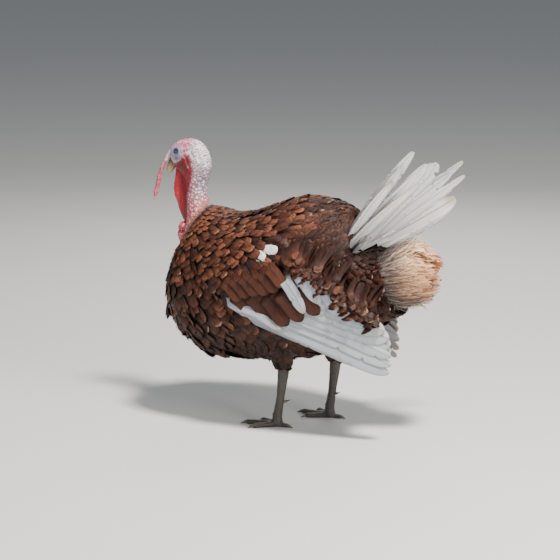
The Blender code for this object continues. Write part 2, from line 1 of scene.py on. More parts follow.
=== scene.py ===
"""The looks of a standing domestic turkey tom: skin, feathers, bare head, horn and scales.

The bird faces -Y, its left side is +X and the floor is z = 0. Lengths are metres. A place on
the bird is given as f forward, l left and z up of the bird's own zero, as in the solids.
"""

import itertools
import math
from collections import namedtuple

import bmesh
import bpy
import numpy as np
import openvdb
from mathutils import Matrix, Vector, noise
from mathutils.bvhtree import BVHTree
from numpy.random import default_rng


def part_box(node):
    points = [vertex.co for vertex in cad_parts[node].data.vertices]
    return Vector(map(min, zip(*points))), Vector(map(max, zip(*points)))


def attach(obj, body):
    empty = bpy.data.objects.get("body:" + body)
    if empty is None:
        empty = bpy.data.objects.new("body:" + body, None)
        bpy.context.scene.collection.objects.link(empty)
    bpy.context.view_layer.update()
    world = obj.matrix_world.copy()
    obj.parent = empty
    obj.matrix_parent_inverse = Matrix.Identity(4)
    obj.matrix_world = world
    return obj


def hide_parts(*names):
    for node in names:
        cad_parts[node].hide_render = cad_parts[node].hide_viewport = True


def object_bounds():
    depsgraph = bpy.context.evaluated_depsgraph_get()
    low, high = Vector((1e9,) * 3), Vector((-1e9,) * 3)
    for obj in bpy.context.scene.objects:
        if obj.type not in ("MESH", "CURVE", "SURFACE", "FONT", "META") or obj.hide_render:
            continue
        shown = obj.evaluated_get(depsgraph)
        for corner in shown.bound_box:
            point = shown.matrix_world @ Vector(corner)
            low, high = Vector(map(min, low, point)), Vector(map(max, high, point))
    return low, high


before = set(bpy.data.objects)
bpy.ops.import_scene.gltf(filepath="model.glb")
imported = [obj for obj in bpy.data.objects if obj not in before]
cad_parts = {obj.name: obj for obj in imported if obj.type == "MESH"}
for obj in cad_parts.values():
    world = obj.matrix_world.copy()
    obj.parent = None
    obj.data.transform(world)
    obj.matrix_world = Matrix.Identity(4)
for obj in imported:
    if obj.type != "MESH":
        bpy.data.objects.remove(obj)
SOLID_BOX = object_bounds()

# ---- driving values
ZERO_F, ZERO_L = -0.0799, -0.0007        # the world's origin in the bird's own f and l
CELL = 0.004                             # grid step of the body's distance field
BAND = 0.044                             # how far from the surface the field is known
SEAL = 0.001                            # closes the thin cuts between the solids
PATCH = 0.003                            # side of a feather's patch on the unwrap
MOST_ROOTS = 26000                       # the most roots tried for one coat
CLOSEST = 0.8                           # how near roots may be, as a share of their spacing
BARE_RISE = 0.0012                       # how far the bare skin stands over the solids
HOLLOW_DEPTH = 0.052                     # how far the skin sinks round the tail's quills
COAT_RINGS = 11                          # rings of points along a body feather
BARBS, FINE_BARBS = 13, 9                # loose barbs on a broad and on a narrow feather

BODY_NODES = ["trunk", "rump", "neck_base", "neck", "thigh_left", "thigh_right",
              "wing_left", "wing_right"]
HEAD_NODES = ["head", "neck", "dewlap", "caruncles", "snood"]
LEG_NODES = ["shank_left", "shank_right", "foot_left", "foot_right"]
SKIN_NODES = BODY_NODES[:3] + HEAD_NODES + BODY_NODES[4:] + LEG_NODES
EYE_NODES = ["eye_left", "eye_right"]
SKIN_CELL = 0.0061                       # grid step of the skin under the feathers
HEAD_CELL = 0.0015                       # grid steps of the bare parts
LEG_CELL = 0.0018
UP = np.array([0.0, 0.0, 1.0])
SIDES = {"left": 1.0, "right": -1.0}


# ---- small helpers
def spot(f, l, z):
    """World point of a place given forward, left and up."""
    return np.array([l - ZERO_L, ZERO_F - f, z])


def lie(f, l, z):
    """World direction of a direction given forward, left and up."""
    return np.array([l, -f, z])


def unit(vectors):
    """The vectors made one long."""
    return vectors / np.maximum(np.linalg.norm(vectors, axis=-1, keepdims=True), 1e-9)


def dot(a, b):
    """The product of each pair of vectors."""
    return np.sum(a * b, axis=-1)


def f_of(points):
    """How far forward the points are."""
    return ZERO_F - points[..., 1]


def ramp(value, low, high):
    """0 below low, 1 above high and a smooth rise between them."""
    t = np.clip((np.asarray(value, float) - low) / (high - low), 0.0, 1.0)
    return t * t * (3.0 - 2.0 * t)


def hump(distance, radius):
    """1 at no distance, falling smoothly to nothing past the radius."""
    return np.exp(-(np.asarray(distance) / radius) ** 2)


def steps(count):
    """So many even steps from 0 to 1."""
    return np.linspace(0.0, 1.0, count)


def columns(*values):
    """A table with a column for each value, which may be one number."""
    return np.stack(np.broadcast_arrays(*values), axis=1)


# ---- distance fields
class Field:
    """Signed distance to some solids on a regular grid, negative inside."""

    def __init__(self, points, faces, cell, low, high, smooth, reach):
        self.cell, self.reach = cell, reach
        self.low = np.floor(np.asarray(low) / cell).astype(int) - 2
        size = np.ceil(np.asarray(high) / cell).astype(int) + 3 - self.low
        place = openvdb.createLinearTransform(voxelSize=cell)
        first = openvdb.FloatGrid.createLevelSetFromPolygons(
            points, triangles=faces, transform=place, halfWidth=4.0)
        sealed, quads = first.convertToQuads(SEAL)
        second = openvdb.FloatGrid.createLevelSetFromPolygons(
            sealed, quads=quads, transform=place, halfWidth=reach / cell)
        values = np.zeros(tuple(size), dtype=np.float32)
        second.copyToArray(values, ijk=tuple(int(v) for v in self.low))
        self.values = values + SEAL
        self.soften(smooth)

    def soften(self, times, share=1.0):
        """Rounds the shape off, everywhere or by a share at each grid point."""
        for _ in range(times):
            soft = self.values
            for axis in range(3):
                soft = 0.5 * soft + 0.25 * (np.roll(soft, -1, axis) + np.roll(soft, 1, axis))
            self.values = self.values * (1.0 - share) + soft * share
        self.slopes = np.stack(np.gradient(self.values, self.cell), axis=-1).astype(np.float32)

    def _mix(self, table, points):
        """Trilinear reading of a table at the points."""
        where = points / self.cell - self.low
        where = np.clip(where, 0.0, np.array(self.values.shape) - 1.001)
        base = where.astype(int)
        share = where - base
        total = 0.0
        for corner in np.ndindex(2, 2, 2):
            weight = np.ones(len(points))
            for axis in range(3):
                weight = weight * (share[:, axis] if corner[axis] else 1.0 - share[:, axis])
            value = table[base[:, 0] + corner[0], base[:, 1] + corner[1], base[:, 2] + corner[2]]
            total = total + value * (weight[:, None] if value.ndim > 1 else weight)
        return total

    def distance(self, points):
        """How far outside the solids the points are."""
        return self._mix(self.values, points)

    def normal(self, points):
        """The way out of the solids at the points."""
        return unit(self._mix(self.slopes, points))

    def surface(self, level, depth):
        """Quads of the surface where distance plus the depth at each grid point is the level."""
        grid = openvdb.FloatGrid(self.reach)
        grid.copyFromArray((self.values + depth).astype(np.float32),
                           ijk=tuple(int(v) for v in self.low))
        grid.transform = openvdb.createLinearTransform(voxelSize=self.cell)
        grid.gridClass = openvdb.GridClass.LEVEL_SET
        return grid.convertToQuads(level)

    def grid_points(self):
        """The places of the grid's points."""
        axes = [(np.arange(n) + low) * self.cell for n, low in zip(self.values.shape, self.low)]
        return np.stack(np.meshgrid(*axes, indexing="ij"), axis=-1)


def read_table(items, field, width, kind=float):
    """One property of all of a mesh's items, a row for each."""
    table = np.empty(len(items) * width, dtype=kind)
    items.foreach_get(field, table)
    return table.reshape(-1, width)


def solids(names):
    """The named nodes' points and triangles as one array each."""
    points, faces, count = [], [], 0
    for name in names:
        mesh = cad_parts[name].data
        mesh.calc_loop_triangles()
        points.append(read_table(mesh.vertices, "co", 3, np.float32))
        faces.append(read_table(mesh.loop_triangles, "vertices", 3, np.int32) + count)
        count += len(mesh.vertices)
    return np.concatenate(points), np.concatenate(faces).astype(np.uint32)


def field_of(names, cell, smooth, reach=BAND, region=None):
    """The distance field of some nodes, over the box of the region's nodes or over their own."""
    points, faces = solids(names)
    inside = solids(region)[0] if region else points
    return Field(points, faces, cell, inside.min(0) - reach, inside.max(0) + reach, smooth, reach)


# ---- the lie of the plumage
# One tract of feathers: where it is, which way it lies, how long and wide its feathers are,
# how much of each shows, how far the rows are apart, how deep its skin lies and how ruffled
# it is.
Tract = namedtuple("Tract", "name place lie long wide shows apart depth ruffle")

TRACTS = [Tract(*row) for row in [
    ("ruff", (0.18, 0.02, 0.602), (-1.0, 0.1, -0.2), .034, .012, .011, .0066, .004, 0.4),
    ("ruff", (0.215, 0.045, 0.56), (-0.5, 0.35, -0.8), .034, .012, .011, .0066, .004, 0.4),
    ("ruff", (0.262, 0.015, 0.5), (0.1, 0.1, -1.0), .034, .013, .011, .007, .004, 0.4),
    ("breast", (0.285, 0.03, 0.43), (0.05, 0.1, -1.0), .048, .021, .016, .0125, .007, 0.6),
    ("breast", (0.225, 0.11, 0.47), (-0.4, 0.2, -0.9), .05, .021, .018, .0125, .008, 0.6),
    ("breast", (0.292, 0.04, 0.34), (-0.1, 0.1, -1.0), .058, .03, .02, .02, .009, 1.5),
    ("breast", (0.225, 0.12, 0.35), (-0.4, 0.15, -0.9), .06, .032, .022, .021, .01, 1.5),
    ("breast", (0.24, 0.05, 0.23), (-0.7, 0.1, -0.7), .062, .033, .022, .021, .01, 1.5),
    ("flank", (0.12, 0.16, 0.3), (-0.7, 0.05, -0.6), .064, .034, .024, .022, .01, 1.4),
    ("flank", (0.12, 0.1, 0.2), (-0.9, 0.05, -0.35), .064, .036, .024, .022, .01, 1.2),
    ("flank", (0.0, 0.08, 0.18), (-1.0, 0.0, -0.1), .066, .036, .026, .024, .01, 1.0),
    ("flank", (-0.11, 0.12, 0.24), (-0.9, 0.05, -0.3), .07, .036, .026, .024, .01, 1.0),
    ("mantle", (0.13, 0.09, 0.56), (-0.75, 0.35, -0.45), .058, .022, .021, .013, .007, .4),
    ("mantle", (0.06, 0.09, 0.575), (-0.85, 0.3, -0.4), .068, .027, .024, .016, .009, .4),
    ("saddle", (-0.04, 0.04, 0.62), (-1.0, 0.12, 0.3), .078, .02, .026, .0125, .01, 0.8),
    ("saddle", (-0.08, 0.15, 0.55), (-0.9, 0.12, 0.4), .08, .02, .026, .0125, .01, 1.1),
    ("rump", (-0.17, 0.05, 0.64), (-0.9, 0.05, 0.5), .094, .012, .028, .0082, .01, 1.2),
    ("rump", (-0.2, 0.13, 0.53), (-0.7, 0.08, 0.75), .092, .012, .028, .0082, .01, 1.4),
    ("rump", (-0.26, 0.08, 0.59), (-0.6, 0.05, 0.8), .092, .012, .028, .0082, .01, 1.3),
    ("vent", (-0.23, 0.13, 0.4), (-0.9, 0.2, -0.3), .08, .03, .024, .019, .01, 1.8),
    ("vent", (-0.26, 0.06, 0.3), (-1.0, 0.15, -0.2), .076, .032, .024, .02, .01, 1.6),
    ("thigh", (-0.07, 0.1, 0.24), (-0.3, 0.0, -1.0), .046, .024, .015, .014, .007, 0.6),
    ("thigh", (-0.08, 0.1, 0.185), (0.0, 0.0, -1.0), .026, .014, .009, .009, .003, 0.5),
    ("wing", (0.1, 0.18, 0.48), (-0.7, 0.1, -0.7), .044, .026, .016, .017, .008, 0.5),
    ("wing", (0.04, 0.2, 0.43), (-0.7, 0.0, -0.75), .052, .031, .02, .02, .009, 0.5),
    ("wing", (-0.06, 0.2, 0.48), (-0.75, 0.0, -0.65), .064, .036, .024, .023, .009, .6),
    ("wing", (-0.11, 0.2, 0.38), (-0.85, 0.0, -0.45), .07, .038, .026, .026, .009, .6),
]]
# How light each tract's feathers are, from dark 0 to bright 1; partly their own tone and partly painted
# shade: the rump, vent and thighs are set dark for the shade they lie in.
SHADES = {"ruff": 0.56, "breast": 0.42, "flank": 0.3, "mantle": 0.6, "saddle": 0.44,
          "rump": 0.09, "vent": 0.08, "thigh": 0.16, "wing": 0.52}
# White feathers on the shoulders: their places in (f, z) and how far they reach.
WHITE_MARKS = [(-0.078, 0.499, 0.013), (-0.118, 0.514, 0.017), (-0.098, 0.53, 0.009)]
TRACT_REACH = 0.055                      # how far tracts blend into each other


class Comb:
    """Blends the tracts: at any point it gives the lie and sizes of the feathers there."""

    def __init__(self):
        self.places = np.array([spot(*t.place) for t in TRACTS])
        self.lies = np.array([lie(*t.lie) for t in TRACTS])
        self.sizes = np.array([t[3:] for t in TRACTS], dtype=float)

    def weights(self, points):
        """Each tract's share at each point, the same on both sides of the bird."""
        folded = points.copy()
        folded[:, 0] = np.abs(folded[:, 0] + ZERO_L) - ZERO_L
        apart = np.linalg.norm(folded[:, None, :] - self.places, axis=2)
        nearest = apart.min(1, keepdims=True)
        near = np.exp(-0.5 * ((apart - nearest) / TRACT_REACH) ** 2
                      - 0.5 * (apart / TRACT_REACH) ** 2 + 0.5 * (nearest / TRACT_REACH) ** 2)
        return near / near.sum(1, keepdims=True)

    def lie_at(self, points, weights=None):
        """The way the feathers lie, straight back along the bird's middle."""
        weights = self.weights(points) if weights is None else weights
        lies = weights @ self.lies
        lies[:, 0] *= np.tanh((points[:, 0] + ZERO_L) / 0.02)
        return lies

    def sizes_at(self, points):
        """The tracts' measures, from long to ruffle."""
        return self.weights(points) @ self.sizes


comb = Comb()


def feather_line(points):
    """How far a point is on the bare side of the neck's feather line."""
    f, z = f_of(points), points[..., 2]
    dip = 0.009 * ramp(f, 0.215, 0.175) * ramp(z, 0.58, 0.62)
    return (f - 0.19) * 0.85 + (z - 0.61) * 0.528 - dip


def bareness(points):
    """1 on the bare head, neck and lower legs, 0 under the feathers."""
    neck = ramp(feather_line(points), -0.022, 0.002) * ramp(points[..., 2], 0.46, 0.48)
    leg = 1.0 - ramp(points[..., 2], 0.158, 0.18)
    return np.maximum(neck, leg)


def tail_hollow(points):
    """1 in the hollow under and behind the rump where the tail's quills stand free."""
    gap = points - spot(-0.31, 0.0, 0.535)
    return 1.0 - ramp(np.linalg.norm(gap * [0.75, 1.0, 1.0], axis=-1), 0.048, 0.086)


def covered(points):
    """Where body feathers have their roots: not on bare skin, nor at the tail and undertail."""
    f, z = f_of(points), points[..., 2]
    edge = np.interp(z, [0.3, 0.37, 0.49, 0.53, 0.6], [-0.345, -0.33, -0.232, -0.24, -0.268])
    return (bareness(points) < 0.5) & (tail_hollow(points) < 0.45) & (f > edge)


# ---- meshes and materials
def place_object(name, data):
    """A new object in the scene."""
    made = bpy.data.objects.new(name, data)
    bpy.context.scene.collection.objects.link(made)
    return made


def new_mesh(name, points, faces):
    """A smooth mesh object."""
    mesh = bpy.data.meshes.new(name)
    mesh.from_pydata([tuple(p) for p in points], [], [tuple(f) for f in faces])
    mesh.polygons.foreach_set("use_smooth", [True] * len(mesh.polygons))
    return place_object(name, mesh)


def closed_rings(name, points, segments, weld=0.0):
    """A closed mesh through rings of points, capped at both ends."""
    rings = len(points) // segments
    faces = [(k * segments + m, k * segments + (m + 1) % segments,
              (k + 1) * segments + (m + 1) % segments, (k + 1) * segments + m)
             for k in range(rings - 1) for m in range(segments)]
    faces += [tuple(range(segments))[::-1], tuple((rings - 1) * segments + m for m in range(segments))]
    piece = new_mesh(name, points, faces)
    shape = bmesh.new()
    shape.from_mesh(piece.data)
    if weld:
        bmesh.ops.remove_doubles(shape, verts=shape.verts, dist=weld)
    bmesh.ops.recalc_face_normals(shape, faces=shape.faces)
    shape.to_mesh(piece.data)
    shape.free()
    return piece


def point_values(mesh, name, kind, table):
    """Stores a number, vector or colour for each point of the mesh."""
    field = {"FLOAT": "value", "FLOAT_VECTOR": "vector", "FLOAT_COLOR": "color"}[kind]
    layer = mesh.attributes.new(name, kind, "POINT")
    layer.data.foreach_set(field, np.asarray(table, dtype=np.float32).ravel())


def point_colours(mesh, name, colours):
    """Stores an opaque colour for each point of the mesh."""
    table = np.concatenate([colours, np.ones((len(colours), 1))], axis=1)
    point_values(mesh, name, "FLOAT_COLOR", table)


def fit_out(piece, material, nodes=()):
    """Gives a finished piece its material, its body and the nodes it stands for."""
    piece.data.materials.clear()
    piece.data.materials.append(material)
    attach(piece, "root")
    if nodes:
        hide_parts(*nodes)
    return piece


class Nodes:
    """A short way to write a node tree."""

    def feed(self, socket, value):
        """Links another node's output to the socket, or sets the socket's own value."""
        if isinstance(value, bpy.types.NodeSocket):
            self.tree.links.new(value, socket)
        elif isinstance(value, tuple) and len(value) == 3 and socket.type == "RGBA":
            socket.default_value = value + (1.0,)
        else:
            socket.default_value = value

    def node(self, kind, inputs=None, **settings):
        """A new node with its settings made and its inputs fed."""
        made = self.tree.nodes.new(kind)
        for name, value in settings.items():
            setattr(made, name, value)
        for label, value in (inputs or {}).items():
            self.feed(made.inputs[label], value)
        return made

    def math(self, operation, a, b=0.0):
        return self.node("ShaderNodeMath", {0: a, 1: b}, operation=operation).outputs[0]

    def times(self, a, b):
        return self.math("MULTIPLY", a, b)

    def plus(self, a, b):
        return self.math("ADD", a, b)

    def minus(self, a, b):
        return self.math("SUBTRACT", a, b)


class Paint(Nodes):
    """One procedural material."""

    def __init__(self, name, roughness=0.5, specular=0.5, sheen=0.0, sheen_roughness=0.5):
        self.material = bpy.data.materials.new(name)
        self.material.use_nodes = True
        self.tree = self.material.node_tree
        self.surface = self.tree.nodes["Principled BSDF"]
        self.give("Roughness", roughness)
        self.give("Specular IOR Level", specular)
        self.give("Sheen Weight", sheen)
        self.give("Sheen Roughness", sheen_roughness)

    def give(self, label, value):
        """Feeds one input of the surface."""
        self.feed(self.surface.inputs[label], value)

    def attribute(self, name, output="Color"):
        return self.node("ShaderNodeAttribute", attribute_name=name).outputs[output]

    def channels(self, name):
        """The three numbers stored in a colour attribute."""
        return self.node("ShaderNodeSeparateColor", {0: self.attribute(name)}).outputs[:3]

    def across_and_along(self):
        """Where on its vane a place is: across, along and both as a vector."""
        vane = self.node("ShaderNodeUVMap", uv_map="vane").outputs[0]
        split = self.node("ShaderNodeSeparateXYZ", {0: vane})
        return split.outputs[0], split.outputs[1], vane

    def off_shaft(self, across):
        """How far to the side of the shaft, up to a half at the rim."""
        return self.math("ABSOLUTE", self.minus(across, 0.5))

    def mix(self, share, low, high, blend="MIX"):
        return self.node("ShaderNodeMix", {"Factor": share, 6: low, 7: high},
                         data_type="RGBA", blend_type=blend).outputs[2]

    def rise(self, value, low, high, out_low=0.0, out_high=1.0):
        """A smooth rise of the outcome while the value goes from low to high."""
        return self.node("ShaderNodeMapRange", {"Value": value, "From Min": low, "From Max": high,
                                                "To Min": out_low, "To Max": out_high},
                         interpolation_type="SMOOTHSTEP").outputs[0]

    def noise(self, vector, scale, detail=2.0, rough=0.5, stretch=None):
        if stretch is not None:
            vector = self.node("ShaderNodeMapping", {"Vector": vector, "Scale": stretch}).outputs[0]
        return self.node("ShaderNodeTexNoise", {"Vector": vector, "Scale": scale, "Detail": detail,
                                                "Roughness": rough}).outputs[0]

    def streaks(self, vane, across, along):
        """Noise on a vane with so many features across and along it."""
        return self.noise(vane, 1.0, 3.0, 0.6, (across, along, 1.0))

    def barbs(self, middle, along, spread, run, scale, distortion=0.0):
        """Slanting bands on both sides of the shaft."""
        fold = self.node("ShaderNodeCombineXYZ", {0: self.times(middle, spread),
                                                  1: self.times(along, run)})
        return self.node("ShaderNodeTexWave", {"Vector": fold.outputs[0], "Scale": scale,
                                               "Distortion": distortion},
                         wave_type="BANDS", bands_direction="DIAGONAL").outputs[1]

    def cells(self, vector, scale, feature="DISTANCE_TO_EDGE"):
        return self.node("ShaderNodeTexVoronoi", {"Vector": vector, "Scale": scale},
                         feature=feature).outputs[0]

    def place(self):
        return self.node("ShaderNodeTexCoord").outputs["Object"]

    def bump(self, height, strength, depth):
        made = self.node("ShaderNodeBump", {"Strength": strength, "Distance": depth, "Height": height})
        self.give("Normal", made.outputs[0])

    def colour(self, value):
        self.give("Base Color", value)

    def rough(self, value):
        self.give("Roughness", value)


# ---- feathers
# How a kind of vane is built: the stations across its top, its thickness, how far its shaft
# stands up, how far the barbs sweep forward and how ragged its rim is.
Vane = namedtuple("Vane", "across thick shaft sweep ragged")
BODY_VANE = Vane((-1.0, -0.7, -0.35, 0.0, 0.35, 0.7, 1.0), 0.0006, 0.0002, 0.25, 0.1)
SMALL_VANE = Vane((-1.0, -0.5, 0.0, 0.5, 1.0), 0.0005, 0.0001, 0.25, 0.1)
DOWN_VANE = Vane((-1.0, -0.5, 0.0, 0.5, 1.0), 0.0005, 0.0002, 0.35, 0.16)
WISP_VANE = Vane((-1.0, 0.0, 1.0), 0.0004, 0.0001, 0.2, 0.1)
FLIGHT_VANE = Vane((-1.0, -0.72, -0.4, -0.07, 0.0, 0.07, 0.4, 0.72, 1.0),
                   0.0011, 0.0009, 0.45, 0.03)


def coat_piece(name, vane, paths, ups, widths, camber, tint, round_tip=0.5, skew=0.0,
               strips=False, seed=1):
    """One mesh of many closed vanes.

    paths and ups are (feathers, rings, 3), widths (feathers, rings) half widths, and camber,
    round_tip and skew one value for each feather or for all. tint is (feathers, 3): shade,
    wear, kind. With strips every feather has a strip of the unwrap to itself.
    """
    paths, ups, widths, tint = (np.asarray(v) for v in (paths, ups, widths, tint))
    count, rings = widths.shape
    draw = default_rng(seed)
    across = np.array(vane.across)
    top, ring = len(across), len(across) + 1
    ahead = unit(np.gradient(paths, axis=1))
    ups = unit(ups - dot(ups, ahead)[..., None] * ahead)
    side = np.cross(ahead, ups)
    along = steps(rings)
    points = np.empty((count, rings, ring, 3))
    camber, round_tip, skew = (np.asarray(v) * np.ones(count) for v in (camber, round_tip, skew))
    for k, u in enumerate(across):
        wide = widths * (1.0 + (skew[:, None] if u > 0.0 else -skew[:, None]))
        droop = camber[:, None] * widths * u * u
        back = round_tip[:, None] * widths * (u * u) * along ** 3
        frayed = vane.ragged * draw.normal(0.0, 1.0, (count, rings)) * widths * abs(u) ** 0.5
        shift = vane.sweep * wide * abs(u) * (1.0 - along) - back - frayed * along ** 1.5
        lift = vane.shaft * (1.0 - 0.7 * along) * float(abs(u) < 0.01) - droop
        points[:, :, k] = (paths + side * (wide * u)[..., None] + ups * lift[..., None]
                           + ahead * shift[..., None])
    points[:, :, top] = paths - ups * (vane.thick * (1.0 - 0.6 * along))[:, None]

    first = (np.arange(count) * rings * ring)[:, None, None, None]
    k = (np.arange(rings - 1) * ring)[:, None, None]
    m = np.arange(ring)[:, None]
    after = (m + 1) % ring
    quads = np.concatenate([first + k + m, first + k + after, first + k + ring + after,
                            first + k + ring + m], axis=3).reshape(-1, 4)
    last = np.arange(ring) + first[:, 0, 0] + (rings - 1) * ring
    start = np.arange(ring)[::-1] + first[:, 0, 0]

    mesh = bpy.data.meshes.new(name)
    flat = points.reshape(-1, 3).astype(np.float32)
    mesh.vertices.add(len(flat))
    mesh.vertices.foreach_set("co", flat.ravel())
    corners = np.concatenate([quads.ravel(), last.ravel(), start.ravel()])
    sizes = np.concatenate([np.full(len(quads), 4), np.full(2 * count, ring)])
    starts = np.concatenate([[0], np.cumsum(sizes)[:-1]])
    mesh.loops.add(len(corners))
    mesh.loops.foreach_set("vertex_index", corners.astype(np.int32))
    mesh.polygons.add(len(sizes))
    mesh.polygons.foreach_set("loop_start", starts.astype(np.int32))
    mesh.polygons.foreach_set("use_smooth", np.ones(len(sizes), dtype=bool))
    mesh.update(calc_edges=True)

    ends = read_table(mesh.edges, "vertices", 2, np.int32) % ring
    rim = ((ends == 0).all(1)) | ((ends == top - 1).all(1))
    sharp = mesh.attributes.new("sharp_edge", "BOOLEAN", "EDGE")
    sharp.data.foreach_set("value", rim)

    over = np.empty((count, rings, ring, 2))
    over[..., 0] = np.concatenate([(across + 1.0) / 2.0, [0.5]])
    over[..., 1] = along[:, None]
    if strips:
        column = (np.arange(count)[:, None, None] + 0.05 + 0.9 * over[..., 0]) / count
        patch = np.stack([column, 0.02 + 0.96 * over[..., 1]], axis=-1)
    else:
        patch = unwrap(paths[:, 0])[:, None, None, :] + PATCH * (over - 0.5)
    for uv_name, table in (("OFBake", patch), ("vane", over)):
        layer = mesh.uv_layers.new(name=uv_name)
        layer.data.foreach_set("uv", table.reshape(-1, 2)[corners].astype(np.float32).ravel())
    point_colours(mesh, "tint", np.repeat(tint, rings * ring, axis=0))
    return place_object(name, mesh)


def fringe(name, paths, ups, widths, tint, each, seed):
    """Loose barbs on the outer half of every feather, a little beyond its rim."""
    draw = default_rng(seed)
    count, rings = widths.shape
    ahead = unit(np.gradient(paths, axis=1))
    side = unit(np.cross(ahead, ups))
    owner = np.repeat(np.arange(count), each)
    many = len(owner)
    run = steps(4)
    t = draw.uniform(0.45, 0.93, many)[:, None] + draw.uniform(0.1, 0.2, many)[:, None] * run
    u = draw.uniform(-0.95, 0.95, many)[:, None] * (1.0 + 0.22 * run)
    place = np.clip(t, 0.0, 0.999) * (rings - 1)
    index = place.astype(int)
    share = (place - index)[..., None]
    rows = owner[:, None]

    def pick(table):
        return table[rows, index] * (1.0 - share) + table[rows, index + 1] * share

    wide = pick(np.broadcast_to(widths[..., None], paths.shape))[..., :1]
    long = np.linalg.norm(paths[:, -1] - paths[:, 0], axis=1)[owner]
    beyond = (np.maximum(t - 0.999, 0.0) * long[:, None])[..., None]
    shrink = 1.0 - 0.45 * u[..., None] ** 2 * ramp(t, 0.86, 1.0)[..., None]
    lifted = pick(ups) * (0.0007 - 0.12 * wide * u[..., None] ** 2)
    lines = pick(paths) + pick(side) * wide * u[..., None] * shrink + pick(ahead) * beyond + lifted
    girth = draw.uniform(0.00045, 0.00085, many)[:, None] * [0.8, 1.0, 0.8, 0.3]
    shades = tint[owner] + columns(draw.normal(0.0, 0.1, many), 0.0, 0.7)
    shades[:, 0] = np.clip(shades[:, 0], 0.0, 2.0)
    return coat_piece(name, WISP_VANE, lines, pick(ups), girth, 0.1, shades, 0.1, seed=seed)


def unwrap(points):
    """A place on the skin's own unwrap: turned round the body's long axis and along it."""
    low, high = np.array(SOLID_BOX[0]), np.array(SOLID_BOX[1])
    share = (points - low) / (high - low)
    middle = 0.4 + 0.15 * share[:, 1]
    turn = np.arctan2(points[:, 0], points[:, 2] - middle) / (2.0 * math.pi) + 0.5
    along = 0.5 * share[:, 1] + 0.25 * (1.0 - share[:, 1]) + 0.25 * share[:, 2] * (1 - share[:, 1])
    return np.stack([0.02 + 0.96 * turn, 0.02 + 0.96 * np.clip(along, 0.0, 1.0)], axis=1)


def scatter(points, faces, keep, spacing_of, seed):
    """Roots spread over a surface, no nearer each other than the rows there are apart.

    spacing_of gives, for points, the lie, how much of a feather shows and the distance
    between neighbours in a row.
    """
    draw = default_rng(seed)
    corners = points[faces]
    corners = corners[keep(corners.mean(1))]
    area = np.linalg.norm(np.cross(corners[:, 1] - corners[:, 0],
                                   corners[:, 2] - corners[:, 0]), axis=1)
    _, shows, apart = spacing_of(corners.mean(1))
    want = area / (shows * apart)
    pick = draw.choice(len(area), size=min(MOST_ROOTS, int(want.sum() * 9) + 10), p=want / want.sum())
    a, b = draw.random(len(pick)), draw.random(len(pick))
    turned = a + b > 1.0
    a[turned], b[turned] = 1.0 - a[turned], 1.0 - b[turned]
    tri = corners[pick]
    spots = tri[:, 0] + a[:, None] * (tri[:, 1] - tri[:, 0]) + b[:, None] * (tri[:, 2] - tri[:, 0])
    ahead, shows, apart = spacing_of(spots)
    widest = float(max(shows.max(), apart.max()))
    around_cell = list(itertools.product((-1, 0, 1), repeat=3))
    cells, kept = {}, []

    def crowded(index, cell):
        for dx, dy, dz in around_cell:
            for other in cells.get((cell[0] + dx, cell[1] + dy, cell[2] + dz), ()):
                gap = spots[index] - spots[other]
                run = float(gap @ ahead[index])
                rest = float(gap @ gap) - run * run
                if (run / shows[index]) ** 2 + rest / apart[index] ** 2 < CLOSEST:
                    return True
        return False

    for index in range(len(spots)):
        cell = tuple((spots[index] / widest).astype(int))
        if not crowded(index, cell):
            cells.setdefault(cell, []).append(index)
            kept.append(index)
    return spots[np.array(kept)]


def comb_out(field, roots, lengths, rings, low, high, lie_of, yaw, stiff=0.45, lift=0.8):
    """Centre lines of feathers that start at their roots and lie along the field's surface."""
    place = roots.copy()
    paths, ups = [], []
    heading = None
    for k in range(rings):
        share = k / (rings - 1)
        normal = field.normal(place)
        level = low + (high - low) * share ** lift
        error = field.distance(place) - level
        pull = np.where(error < 0.0, 1.0, 0.55)
        if k == 0:
            pull = np.ones(len(place))
        place = place - normal * (error * pull)[:, None]
        paths.append(place.copy())
        ups.append(normal)
        wanted = lie_of(place)
        wanted = unit(wanted - dot(wanted, normal)[:, None] * normal)
        across = np.cross(wanted, normal)
        wanted = unit(wanted + across * yaw[:, None])
        heading = wanted if heading is None else unit(stiff * heading + (1.0 - stiff) * wanted)
        place = place + heading * (lengths / (rings - 1))[:, None]
    return np.stack(paths, 1), np.stack(ups, 1)


def scale_width(along, tip=0.7, fullest=0.6):
    """Half width along a body feather, from its base to its broad, squared tip."""
    rise = np.sin(0.5 * math.pi * np.clip(along / fullest, 0.0, 1.0)) * 0.75 + 0.25
    fall = 1.0 - (1.0 - tip) * np.clip((along - 0.86) / 0.14, 0.0, 1.0) ** 2
    return rise * fall


# ---- flight feathers
# How each wing lies: its side, how far forward, how far tucked in and how low.
Wing = namedtuple("Wing", "sign forward tuck drop")
WINGS = {"left": Wing(1.0, 0.0, 0.0, 0.0), "right": Wing(-1.0, 0.086, 0.015, 0.016)}
# The furthest out a feather's middle may lie, and how far out the wing lies at each f.
WING_LIMIT = 0.218
WING_SPAN = [(-0.45, 0.132), (-0.3, 0.172), (-0.14, 0.194), (0.03, 0.186), (0.16, 0.15)]

